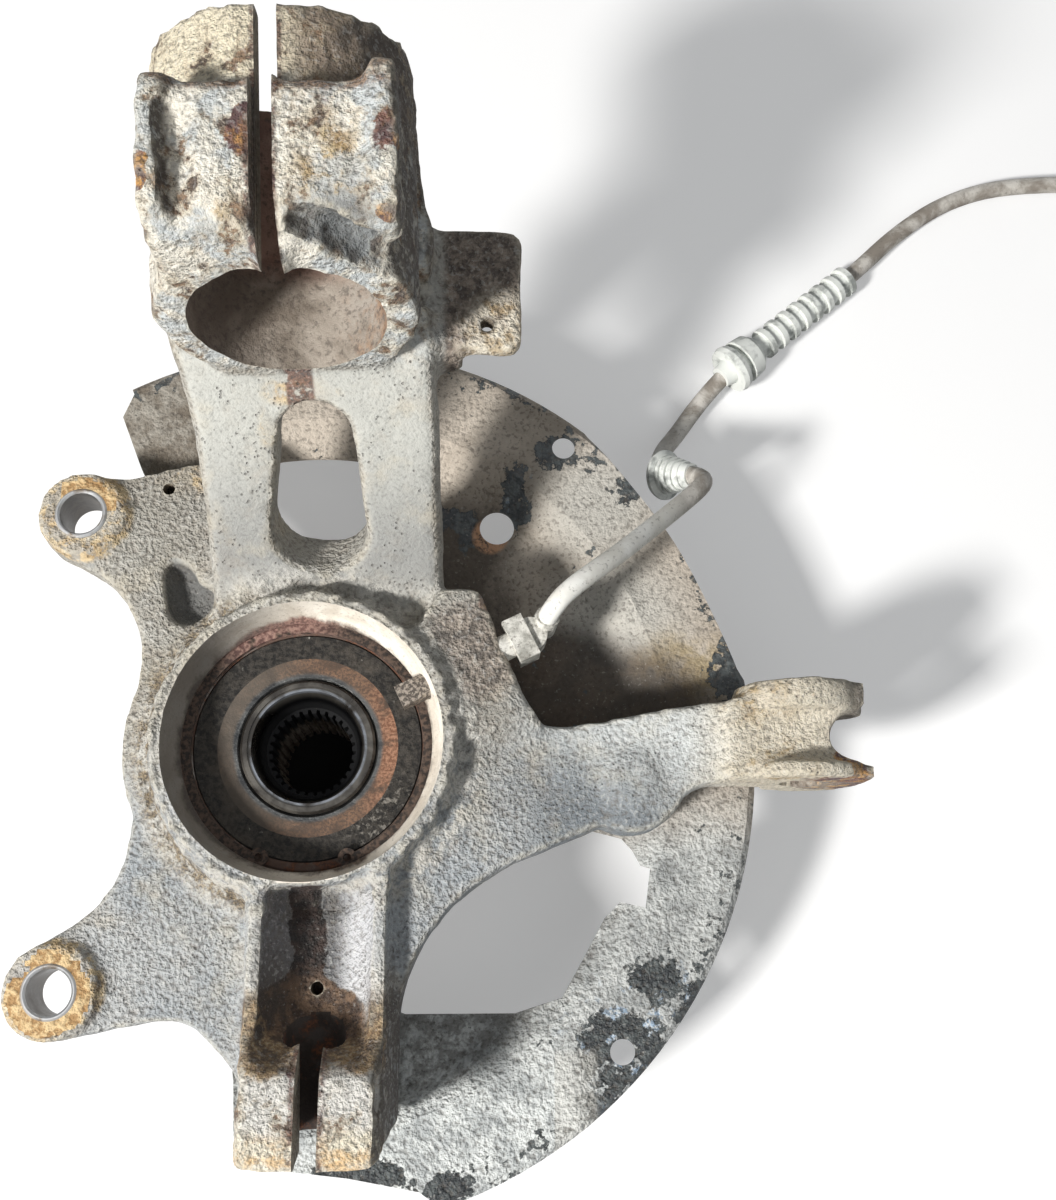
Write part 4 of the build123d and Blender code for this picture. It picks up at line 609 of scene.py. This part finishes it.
def shield_paint():
    """Pressed sheet: mud over old paint, which lifts near the rim and in flakes."""
    s = Surface("shield_sheet")
    radius = s.radius()
    mottle = s.noise(70, 7, 0.68)
    lumps = s.noise(260, 6, 0.66)
    grain = s.noise(600, 2.5, 0.5)
    grit = s.noise(700, 4, 0.66)
    sheet_mud(s, mottle)
    s.coat((0.13, 0.12, 0.105), s.step(radius, 122, 114), s.step(s.y, -20, -50),
           s.step(lumps, 0.6, 0.44, 0, 0.6))
    flakes = s.most(s.near_any(SHIELD_FLAKES), s.step(radius, 141, 151, 0, 0.42))
    lifted = s.step(s.wander(s.wander(flakes, mottle, 3, 0.5), lumps, 2.2, 0.5), 0.56, 0.64)
    s.coat(s.tones(lumps, 0.44, 0.6, (0.012, 0.015, 0.017), (0.075, 0.085, 0.085)), lifted)
    primed = s.most(s.near((118, -94, 42), 8, 34, (0.8, 1, 1)), s.times(s.near((74, 97, 36), 3, 12), 0.9))
    s.coat(s.tones(grit, 0.45, 0.6, (0.3, 0.4, 0.52), (0.66, 0.68, 0.68)),
           primed, s.step(s.noise(170, 6, 0.68), 0.57, 0.62))
    s.coat((0.62, 0.6, 0.55), s.band(s.x, 82.5, 83.2, 95, 98.5), s.step(s.y, -96, -100), 0.5)
    s.coat((0.62, 0.36, 0.22), s.near((60.5, 81.5, 36), 5.6, 7.4), s.step(grit, 0.3, 0.5))
    s.coat((0.075, 0.062, 0.05), s.step(grain, 0.46, 0.33, 0, 0.45))
    s.coat((0.075, 0.062, 0.05), s.step(grit, 0.44, 0.32, 0, 0.45))
    s.coat((0.7, 0.68, 0.62), s.step(grit, 0.6, 0.7, 0, 0.25))
    # darker in the hollows: earth together with painted shade
    s.coat(EARTH, s.step(s.hollow(7), 0.35, 0.9), 0.6)
    relief = s.plus(s.times(grit, 0.45), s.times(grain, s.step(s.y, 20, -50, 0.8, 1.7)), mottle,
                    s.times(lifted, -0.35))
    return s.finish(s.step(lifted, 0, 1, 0.92, 0.5), relief, 0.9, 1.1)


# keyed by a part of the node names, where the first that fits counts; from jacket on, by place
finishes = {
    "knuckle_casting": cast_iron(),
    "snap_ring": seat_wall("spring_steel", (0.105, 0.07, 0.052)),
    "sleeve": sleeve_steel(),
    "inner_ring_inboard": inner_race(),
    "_ring": machined("race_steel", (0.3, 0.27, 0.24), (0.14, 0.09, 0.07), 0.75, 0.5, 0.5, 0.6),
    "balls": machined("ball_steel", (0.72, 0.72, 0.73), (0.5, 0.5, 0.5), 0.05, 0, 0.12, 1),
    "cage": dusty("cage_plastic", (0.03, 0.03, 0.035), (0.06, 0.06, 0.06), 0.1, 0.5),
    "encoder": gritty_ring(),
    "bearing_seal": dusty("seal_rubber", (0.03, 0.028, 0.026), (0.14, 0.11, 0.085), 0.55),
    "wheel_hub": hub_nose(),
    "dust_shield": shield_paint(),
    "screws": machined("screw_zinc", (0.42, 0.38, 0.33), EARTH, 0.5, 0.5, 0.5, 0.7),
    "sensor": sensor_body(),
    "grommet": dusty("grommet_rubber", (0.38, 0.4, 0.38), (0.8, 0.82, 0.78), 0.72, 0.7, 110, 0.4),
    "connector": dusty("connector_plastic", (0.035, 0.035, 0.035), (0.3, 0.28, 0.24), 0.25, 0.5),
    "tie": dusty("tie_nylon", (0.03, 0.03, 0.03), (0.2, 0.18, 0.16), 0.2, 0.5),
    "jacket": cable_jacket(),
    "cone": mouth_cone(),
    "seat": seat_wall("bearing_seat", (0.13, 0.092, 0.07)),
    "bore": strut_bore(),
    "face": ear_face(),
    "dark_bore": machined("shadowed_bore", (0.055, 0.042, 0.035), (0.035, 0.026, 0.022),
                          0.6, 0.45, 0.8, 0.05),
}
for node_name, node in nodes.items():
    word = next((word for word in finishes if word in node_name), None)
    for slot in node.material_slots if word else ():
        slot.material = finishes[word]


# ---- mesh kit
SHARP_ANGLE = 38.0
BOSS_PITCH = 1.8


class Frame:
    """Local axes of a feature: an origin and a z direction, with x kept along a hint."""

    def __init__(self, origin=(0, 0, 0), z_dir=(0, 0, 1), x_hint=(1, 0, 0)):
        z = Vector(z_dir).normalized()
        x = (Vector(x_hint) - z * Vector(x_hint).dot(z)).normalized()
        self.matrix = Matrix((x, z.cross(x), z)).transposed().to_4x4()
        self.matrix.translation = Vector(origin)

    def local(self, places):
        """Places of the part, in millimetres, as this frame has them."""
        inverse = np.array(self.matrix.inverted())
        return places @ inverse[:3, :3].T + inverse[:3, 3]


def over(place):
    """Frame over a place of the web, with z along the hub axis."""
    return Frame((*place, 0))


def mesh_of(name, points, faces, place=None):
    """Mesh object from points in millimetres."""
    mesh = bpy.data.meshes.new(name)
    matrix = (place or Frame()).matrix
    mesh.from_pydata([matrix @ Vector(p) * MM for p in points], [], faces)
    bm = bmesh.new()
    bm.from_mesh(mesh)
    bmesh.ops.recalc_face_normals(bm, faces=bm.faces)
    bm.to_mesh(mesh)
    bm.free()
    return link(name, mesh)


def lathe(name, profile, place=None, segments=128):
    """Closed solid turned about the local z axis. The profile runs from the axis back to the axis."""
    points, rings = [], []
    for radius, z in profile:
        if radius < 1e-6:
            rings.append([len(points)])
            points.append((0, 0, z))
        else:
            rings.append(list(range(len(points), len(points) + segments)))
            points += [(radius * cos(2 * pi * k / segments), radius * sin(2 * pi * k / segments), z)
                       for k in range(segments)]
    faces = []
    for lower, upper in zip(rings, rings[1:]):
        for k in range(segments):
            n = (k + 1) % segments
            corners = [lower[k % len(lower)], lower[n % len(lower)],
                       upper[n % len(upper)], upper[k % len(upper)]]
            faces.append(list(dict.fromkeys(corners)))
    return mesh_of(name, points, faces, place)


def rod(name, radius, low, high, place=None, segments=96):
    return lathe(name, [(0, low), (radius, low), (radius, high), (0, high)], place, segments)


def prism(name, outline, low, high, place=None):
    """Straight prism: outline in local x and y, from low to high along local z."""
    count = len(outline)
    points = [(x, y, low) for x, y in outline] + [(x, y, high) for x, y in outline]
    faces = [list(range(count))[::-1], list(range(count, 2 * count))]
    faces += [[k, (k + 1) % count, (k + 1) % count + count, k + count] for k in range(count)]
    return mesh_of(name, points, faces, place)


def block(name, x_range, y_range, z_range, place=None):
    """Box in local axes."""
    (left, right_end), (front, rear) = x_range, y_range
    return prism(name, [(left, front), (right_end, front), (right_end, rear), (left, rear)], *z_range, place)


def applied(made, *modifiers):
    """The object's mesh with modifiers put on and applied."""
    for kind, settings in modifiers:
        modifier = made.modifiers.new(kind.lower(), kind)
        for key, value in settings.items():
            setattr(modifier, key, value)
    depsgraph = bpy.context.evaluated_depsgraph_get()
    mesh = bpy.data.meshes.new_from_object(made.evaluated_get(depsgraph))
    made.modifiers.clear()
    old = made.data
    made.data = mesh
    bpy.data.meshes.remove(old)


def drop(*objects):
    for made in objects:
        bpy.data.objects.remove(made, do_unlink=True)


def joined(name, objects):
    """One mesh object from several."""
    bm = bmesh.new()
    for made in objects:
        bm.from_mesh(made.data)
    bmesh.ops.remove_doubles(bm, verts=bm.verts, dist=1e-6)
    mesh = bpy.data.meshes.new(name)
    bm.to_mesh(mesh)
    bm.free()
    return link(name, mesh)


def copy_of(node_name, name):
    """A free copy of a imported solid, without its materials."""
    mesh = nodes[node_name].data.copy()
    mesh.materials.clear()
    return link(name, mesh)


def cut(made, *cutters):
    """Takes crisp shapes out of a skin."""
    for cutter in cutters:
        applied(made, ("BOOLEAN", {"object": cutter, "operation": "DIFFERENCE", "solver": "MANIFOLD"}))
    drop(*cutters)


def rows(collection, attribute):
    """A three-number attribute of every item of a mesh collection."""
    flat = np.empty(len(collection) * 3)
    collection.foreach_get(attribute, flat)
    return flat.reshape(-1, 3)


def put_places(mesh, places):
    mesh.vertices.foreach_set("co", places.ravel())
    mesh.update()


def roughen(mesh, layers, hold=None):
    """Moves each vertex along its normal by layers of (wavelength, height) noise, in millimetres."""
    places = rows(mesh.vertices, "co")
    normals = rows(mesh.vertex_normals, "vector")
    moves = np.zeros(len(places))
    for wavelength, height in layers:
        at = places / (wavelength * MM)
        moves += height * MM * np.array([noise.noise(Vector(p)) for p in at])
    if hold is not None:
        moves *= hold(places / MM)
    put_places(mesh, places + normals * moves[:, None])


def smooth(made):
    made.data.shade_smooth()
    made.data.set_sharp_from_angle(angle=radians(SHARP_ANGLE))


def pressed(made, forms):
    """Presses soft bosses into a sheet: (x, y, half width, half height, rise), in millimetres."""
    bm = bmesh.new()
    bm.from_mesh(made.data)
    for x, y, wide, high, rise in forms:
        spans = ((0, x, wide), (1, y, high))
        geom = [face for face in bm.faces
                if all(min(v.co[axis] for v in face.verts) < (middle + half) * MM
                       and max(v.co[axis] for v in face.verts) > (middle - half) * MM
                       for axis, middle, half in spans)]
        geom += (list({edge for face in geom for edge in face.edges})
                 + list({vert for face in geom for vert in face.verts}))
        for axis, middle, half in spans:
            normal = Vector([float(k == axis) for k in range(3)])
            count = round(half / BOSS_PITCH)
            for k in range(-count, count + 1):
                at = normal * (middle + half * k / count) * MM
                geom = bmesh.ops.bisect_plane(bm, geom=geom, plane_co=at, plane_no=normal)["geom"]
        for vert in bm.verts:
            inside = 1.0 - ((vert.co.x / MM - x) / wide) ** 2 - ((vert.co.y / MM - y) / high) ** 2
            if inside > 0.0:
                vert.co.z += rise * MM * inside ** 2
    bmesh.ops.triangulate(bm, faces=bm.faces)
    bm.to_mesh(made.data)
    bm.free()


# ---- casting skin
STRUT = Frame((2.0, 105.0, 163.0), (sin(radians(-2.3)), cos(radians(8.0)), sin(radians(8.0))))
STRUT_R = 28
MOUTH_DROP = tan(radians(12.0))
STUD = Frame((STUD_X, -108.0, 64.5), (0, cos(radians(15.0)), sin(radians(15.0))))
STUD_R = 8.75
STUD_MOUTH_R = 9.8
EYE = Frame((166, 0, 56.5), (0, 1, 0), (1, 0, 0))
EYE_FACE = -11.2
EYE_SEAT = -5.7
SENSOR_ANGLE = radians(26.5)
SENSOR_Z = 67.65
SENSOR_ALONG = (cos(SENSOR_ANGLE), sin(SENSOR_ANGLE), 0)
SENSOR = Frame((0, 0, SENSOR_Z), SENSOR_ALONG, (-sin(SENSOR_ANGLE), cos(SENSOR_ANGLE), 0))
ACROSS = Frame((0, 0, 0), (1, 0, 0), (0, 1, 0))
LOWER_SCREW = (6, -77.7)
UPPER_SCREW = (-52.3, 90.9)
SMALL_HOLE_R = 2.1
EAR_FACE_Z = 61.9
BORE_PROFILE = [(0, 8.5), (37.5, 8.5), (37.5, 15), (41.5, 15), (41.5, 60.6), (43.7, 60.6), (43.7, 62.8),
                (41.5, 62.8), (41.5, 64.2), (43.5, 67.2), (45.5, 78), (45.5, 100), (0, 100)]
LUGS = Frame(STRUT.matrix.translation, (STRUT.matrix @ Vector((1, 0, 0)) - STRUT.matrix.translation),
             (STRUT.matrix @ Vector((0, 1, 0)) - STRUT.matrix.translation))
VOXELS = ("REMESH", {"mode": "VOXEL", "voxel_size": 1.75 * MM, "use_smooth_shade": True})
SKIN_FINISHES = ("knuckle_casting", "cone", "seat", "bore", "face", "dark_bore")
SHIELD_BOSSES = ((86.5, 73, 8, 12, 1.6), (105.5, 49, 12, 22, 2.2), (91, -114, 9, 20, 1.2))


def strut_plug():
    """Fills the strut bore from its slanted mouth to its top."""
    plug = rod("strut_plug", STRUT_R + 0.5, 0, 75, STRUT)
    inverse = STRUT.matrix.inverted()
    for vertex in plug.data.vertices:
        local = inverse @ (vertex.co / MM)
        if local.z < 1:
            local.z = -local.y * MOUTH_DROP
            vertex.co = STRUT.matrix @ local * MM
    return plug


def ramp(values, start, over_length):
    """0 at start, 1 once the values have gone over_length further."""
    return np.clip((values - start) / over_length, 0, 1)


def corroded(at):
    """Share of the deeper pitting at each point: the housing's rim, the head and the column's clamp."""
    reach = np.hypot(at[:, 0], at[:, 1])
    rim = 1.5 * ramp(reach, 46.0, 2.0) * ramp(-reach, -60.0, 5.0) * ramp(at[:, 2], 58.0, 4.0)
    head = 0.7 * ramp(at[:, 2], 140.0, 20.0)
    column = 0.7 * ramp(-at[:, 1], 76.0, 12.0) * ramp(at[:, 2], 66.0, 6.0)
    return np.maximum(np.maximum(rim, head), column)


def ring_foot(mesh):
    """Sinks a dirt line round the foot of the housing's rim."""
    places = rows(mesh.vertices, "co")
    at = places / MM
    reach = np.hypot(at[:, 0], at[:, 1])
    share = np.exp(-((reach - 53.8) / 1.8) ** 2) * ramp(at[:, 2], 52.0, 3.0) * ramp(-at[:, 2], -66.0, 3.0)
    places[:, 2] -= 2.0 * MM * share
    put_places(mesh, places)


def plugged_casting():
    """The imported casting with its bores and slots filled, and with its small raised forms."""
    body = copy_of("knuckle_casting", "casting_base")
    plugs = [
        lathe("bore_plug", [(0, 13.5), (43.5, 13.5), (43.5, 60), (46.8, 64), (46.8, 78), (0, 78)]),
        strut_plug(),
        prism("strut_slot_plug", [(-27, 3), (-36.4, 3), (-40, 16), (-48.5, 18), (-48.5, 49.5), (-36.4, 49.5),
                                  (-36.4, 75), (-27, 75)], -3.4, 3.4, LUGS),
        rod("stud_plug", 9.3, -15.65, 12, STUD),
        prism("stud_slot_plug", [(-130.5, 88), (-104, 88), (-92, 78), (-97, 62), (-123, 60.5)],
              STUD_X - 4.1, STUD_X + 4.1, ACROSS),
        prism("stud_slot_end_plug", [(-93, 50), (-82.5, 50), (-82.5, 60.2), (-93, 60.2)],
              STUD_X - 4.6, STUD_X + 4.6, ACROSS),
        rod("eye_plug", 7.8, EYE_FACE, EYE_SEAT, EYE),
        prism("sensor_cover", [(44.0, -6.5), (71.0, -6.5), (71.0, 6.5), (44.0, 6.5)], -2.0, 5.6,
              Frame((0, 0, SENSOR_Z), (0, 0, 1), SENSOR_ALONG)),
        lathe("arm_boss", [(0, 55), (9.4, 55), (8.6, 68.6), (7.0, 69.9), (5.0, 69.6), (0, 69.4)],
              over((106.5, -11.5))),
        rod("lower_screw_plug", 2.6, 44, 61, over(LOWER_SCREW)),
        rod("upper_screw_plug", 2.6, 44, 58, over(UPPER_SCREW)),
    ]
    plugs += [rod("ear_plug", 9.3, 42.5, EAR_TOP, over(ear)) for ear in EARS]
    skin = joined("knuckle_casting_skin", [body] + plugs)
    drop(body, *plugs)
    return skin


def finish_indices(mesh):
    """Which of SKIN_FINISHES each face has."""
    centres = rows(mesh.polygons, "center") / MM
    reach, height = np.hypot(centres[:, 0], centres[:, 1]), centres[:, 2]
    in_strut, in_stud = STRUT.local(centres), STUD.local(centres)
    stud_limit = np.where(in_stud[:, 2] > 8.0, STUD_MOUTH_R + 0.1, STUD_R + 0.1)
    index = np.zeros(len(centres), dtype=np.int32)
    for name, chosen in (
            ("cone", (reach < 45.55) & (height > 64.1) & (height < 78.2)),
            ("seat", (reach < 43.8) & (height > 13) & (height <= 64.1)),
            ("bore", (np.hypot(in_strut[:, 0], in_strut[:, 1]) < STRUT_R + 0.05) & (in_strut[:, 2] > -16)),
            ("dark_bore", (np.hypot(in_stud[:, 0], in_stud[:, 1]) < stud_limit) & (in_stud[:, 2] < 27)),
            *[("face", (np.hypot(centres[:, 0] - x, centres[:, 1] - y) < 17.5)
               & (np.abs(height - EAR_FACE_Z) < 0.05)) for x, y in EARS]):
        index[chosen] = SKIN_FINISHES.index(name)
    return index


solid = rows(nodes["knuckle_casting"].data.vertices, "co")
skin = plugged_casting()
applied(skin, VOXELS)
cut(skin,
    lathe("lug_gully", [(0, -17), (4.2, -15), (6.4, -4), (7.6, 8), (8.6, 24), (0, 24)],
          Frame((21.5, 109.6, 201.6), (0.81, -0.06, -0.58), (0, 0, 1)), 48),
    lathe("lug_groove", [(0, -24), (4.0, -20), (4.6, 0), (4.0, 14), (0, 19)],
          Frame(STRUT.matrix @ Vector((-21.0, -49.6, 27.0)),
                STRUT.matrix.to_3x3() @ Vector((-0.06, 0.0, 1.0)), (1, 0, 0)), 48))
applied(skin, VOXELS, ("SMOOTH", {"factor": 0.5, "iterations": 3}))
roughen(skin.data, ((24.0, 0.45), (8.0, 0.3), (4.0, 0.22)))
roughen(skin.data, ((6.5, 0.6), (3.9, 0.85)), corroded)
ring_foot(skin.data)
put_places(skin.data, np.clip(rows(skin.data.vertices, "co"), solid.min(axis=0), solid.max(axis=0)))
cut(skin,
    lathe("bore_cut", BORE_PROFILE, None, 192),
    rod("strut_cut", STRUT_R, -16, 110, STRUT, 144),
    block("slot_cut", (-3, 3), (-60, -20), (-25, 110), STRUT),
    lathe("stud_cut", [(0, -40), (STUD_R, -40), (STUD_R, 8), (STUD_MOUTH_R, 10), (STUD_MOUTH_R, 27),
                       (0, 27)], STUD, 96),
    block("stud_slot_cut", (-3.6, 3.6), (-50, 0), (-40, 20), STUD),
    lathe("eye_cut", [(0, -20), (7.4, -20), (7.4, EYE_FACE), (6.6, EYE_SEAT), (6.6, 8), (0, 8)], EYE),
    rod("eye_face_cut", 25.0, -25, EYE_FACE + 0.1, EYE),
    rod("lower_screw_cut", SMALL_HOLE_R, 30, 100, over(LOWER_SCREW), 32),
    rod("upper_screw_cut", SMALL_HOLE_R, 30, 100, over(UPPER_SCREW), 32),
    rod("sensor_cut", 4.55, 37.5, 49, SENSOR, 48),
    rod("bracket_hole_cut", SMALL_HOLE_R, 110, 150, over(BRACKET_HOLE), 32),
    *[rod("ear_cut", 8.9, 30, 100, over(ear)) for ear in EARS],
    *[rod("ear_face_cut", 17.0, EAR_FACE_Z, 80, over(ear)) for ear in EARS],
    *[rod("ear_back_cut", 17.0, 30, 42.6, over(ear)) for ear in EARS])
smooth(skin)
skin.data.materials.clear()
for finish_name in SKIN_FINISHES:
    skin.data.materials.append(finishes[finish_name])
skin.data.polygons.foreach_set("material_index", finish_indices(skin.data))
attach(skin, "knuckle")
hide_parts("knuckle_casting")

sheet = copy_of("brake_dust_shield", "brake_dust_shield_pressed")
pressed(sheet, SHIELD_BOSSES)
smooth(sheet)
sheet.data.materials.append(finishes["dust_shield"])
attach(sheet, "knuckle")
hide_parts("brake_dust_shield")

# ---- sensor cable
CABLE_R = 3.4
CABLE_FLOOR_Z = -4.6
COIL_CENTRE = Vector((345.0, 222.5, 0))
COIL_Z = -3.4
ROUTE = [
    (79.5, 42.3, 71), (80.9, 44.1, 76), (85.1, 48.9, 79), (92.6, 55.3, 77.5), (104.5, 65.5, 70.5),
    (118, 79, 59), (129, 90, 50.3), (135.9, 96.9, 46.5), (139.3, 101.5, 43.5), (137.2, 106.1, 37),
    (127.2, 109.9, 26), (125.3, 116.8, 15), (128.8, 127.2, 5), (135.5, 136.5, -1), (144.5, 150, -2.6),
    (155.4, 161.9, 2.5), (169.2, 173.4, 1.4), (187.2, 189.2, -0.5), (211.7, 209.9, -2.7),
    (233, 231.4, CABLE_FLOOR_Z), (256.4, 247.6, CABLE_FLOOR_Z), (286, 255.9, CABLE_FLOOR_Z + 0.2),
]
TURN_POINTS = 16
COIL_OUTER, COIL_INNER, COIL_END = 33.4, 26.6, 30.0
INWARD_AT, INWARD_OVER = 0.85, 0.3
RISE_AT, RISE_OVER, RISE = 1.8, 0.35, 8.4
for k in range(2 * TURN_POINTS + 4):
    angle = radians(90 - 360 * k / TURN_POINTS)
    lap = k / TURN_POINTS
    inward = min(max((lap - INWARD_AT) / INWARD_OVER, 0.0), 1.0)
    risen = min(max((lap - RISE_AT) / RISE_OVER, 0.0), 1.0)
    radius = COIL_OUTER - (COIL_OUTER - COIL_INNER) * inward + (COIL_END - COIL_INNER) * risen
    ROUTE.append((COIL_CENTRE.x + radius * cos(angle), COIL_CENTRE.y + radius * sin(angle),
                  COIL_Z + RISE * risen))
ROUTE.append((367.0, 219.0, 5.0))

curve = bpy.data.curves.new("abs_cable_line", "CURVE")
curve.dimensions = "3D"
spline = curve.splines.new("NURBS")
spline.points.add(len(ROUTE) - 1)
for point, at in zip(spline.points, ROUTE):
    point.co = (*[c * MM for c in at], 1.0)
spline.order_u = 3
spline.use_endpoint_u = True
spline.resolution_u = 6
curve.bevel_depth = CABLE_R * MM
curve.bevel_resolution = 5
curve.use_fill_caps = True
cable = link("abs_cable_skin", curve)
curve.materials.append(finishes["jacket"])
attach(cable, "knuckle")
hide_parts("abs_cable", "cable_coil")

# ---- floor, world and lamps
FLOOR_Z = -8.0
FLOOR_HALF = 3000
FLOOR_ALBEDO = 0.76
FLOOR_LIT_ALBEDO = 0.3
# painted shade: the floor inside the hub's pilot ring is dark and gives no glow, seen through the hub's bore
UNDER_HUB_SHADE_ALBEDO = 0.03
UNDER_HUB_SHADE_R = (24, 27)
FLOOR_GLOW = 0.27
SKY = 0.2
floor = block("floor", (-FLOOR_HALF, FLOOR_HALF), (-FLOOR_HALF, FLOOR_HALF), (FLOOR_Z - 2, FLOOR_Z - 0.02))


def seen_directly(tree):
    """1 for rays from the camera and for those that metal or glass show, 0 for the light that falls."""
    rays = tree.nodes.new("ShaderNodeLightPath")
    total = rays.outputs["Is Camera Ray"]
    for name in ("Is Glossy Ray", "Is Transmission Ray"):
        node = tree.nodes.new("ShaderNodeMath")
        node.operation = "MAXIMUM"
        tree.links.new(total, node.inputs[0])
        tree.links.new(rays.outputs[name], node.inputs[1])
        total = node.outputs[0]
    return total


def ranged(tree, value, low, high, limits=(0.0, 1.0)):
    """From low to high as the value passes its limits. High may be another node's output."""
    node = tree.nodes.new("ShaderNodeMapRange")
    tree.links.new(value, node.inputs["Value"])
    for socket, number in (("From Min", limits[0]), ("From Max", limits[1]), ("To Min", low)):
        node.inputs[socket].default_value = number
    if isinstance(high, bpy.types.NodeSocket):
        tree.links.new(high, node.inputs["To Max"])
    else:
        node.inputs["To Max"].default_value = high
    return node.outputs["Result"]


floor_look = bpy.data.materials.new("floor_pale")
floor_look.use_nodes = True
tree = floor_look.node_tree
base = tree.nodes["Principled BSDF"]
base.inputs["Roughness"].default_value = 1.0
base.inputs["Emission Color"].default_value = (1, 1, 1, 1)
seen = seen_directly(tree)
from_axis = tree.nodes.new("ShaderNodeVectorMath")
from_axis.operation = "LENGTH"
tree.links.new(tree.nodes.new("ShaderNodeTexCoord").outputs["Object"], from_axis.inputs[0])
for socket, hub_shade, lit, shown in (("Base Color", UNDER_HUB_SHADE_ALBEDO, FLOOR_LIT_ALBEDO, FLOOR_ALBEDO),
                                      ("Emission Strength", 0.0, 0.0, FLOOR_GLOW)):
    clear = ranged(tree, from_axis.outputs["Value"], hub_shade, ranged(tree, seen, lit, shown),
                   [r * MM for r in UNDER_HUB_SHADE_R])
    tree.links.new(clear, base.inputs[socket])
floor.data.materials.append(floor_look)

world = bpy.data.worlds.new("studio")
bpy.context.scene.world = world
world.use_nodes = True
tree = world.node_tree
background = tree.nodes["Background"]
background.inputs["Color"].default_value = (0.94, 0.97, 1.0, 1)
tree.links.new(ranged(tree, seen_directly(tree), SKY, 1.0), background.inputs["Strength"])

LAMPS_AIM = (0.04, 0.0, 0.05)
for name, at, power, size, colour in (("key", (-1.25, -1.0, 1.45), 64.0, 0.3, (1.0, 0.985, 0.96)),
                                      ("fill", (0.9, -0.7, 1.9), 4.5, 1.6, (0.95, 0.98, 1.0))):
    light = bpy.data.lights.new(name, "AREA")
    light.energy = power
    light.size = size
    light.color = colour
    lamp = link(name, light)
    lamp.location = at
    lamp.rotation_euler = (Vector(LAMPS_AIM) - Vector(at)).to_track_quat("-Z", "Y").to_euler()
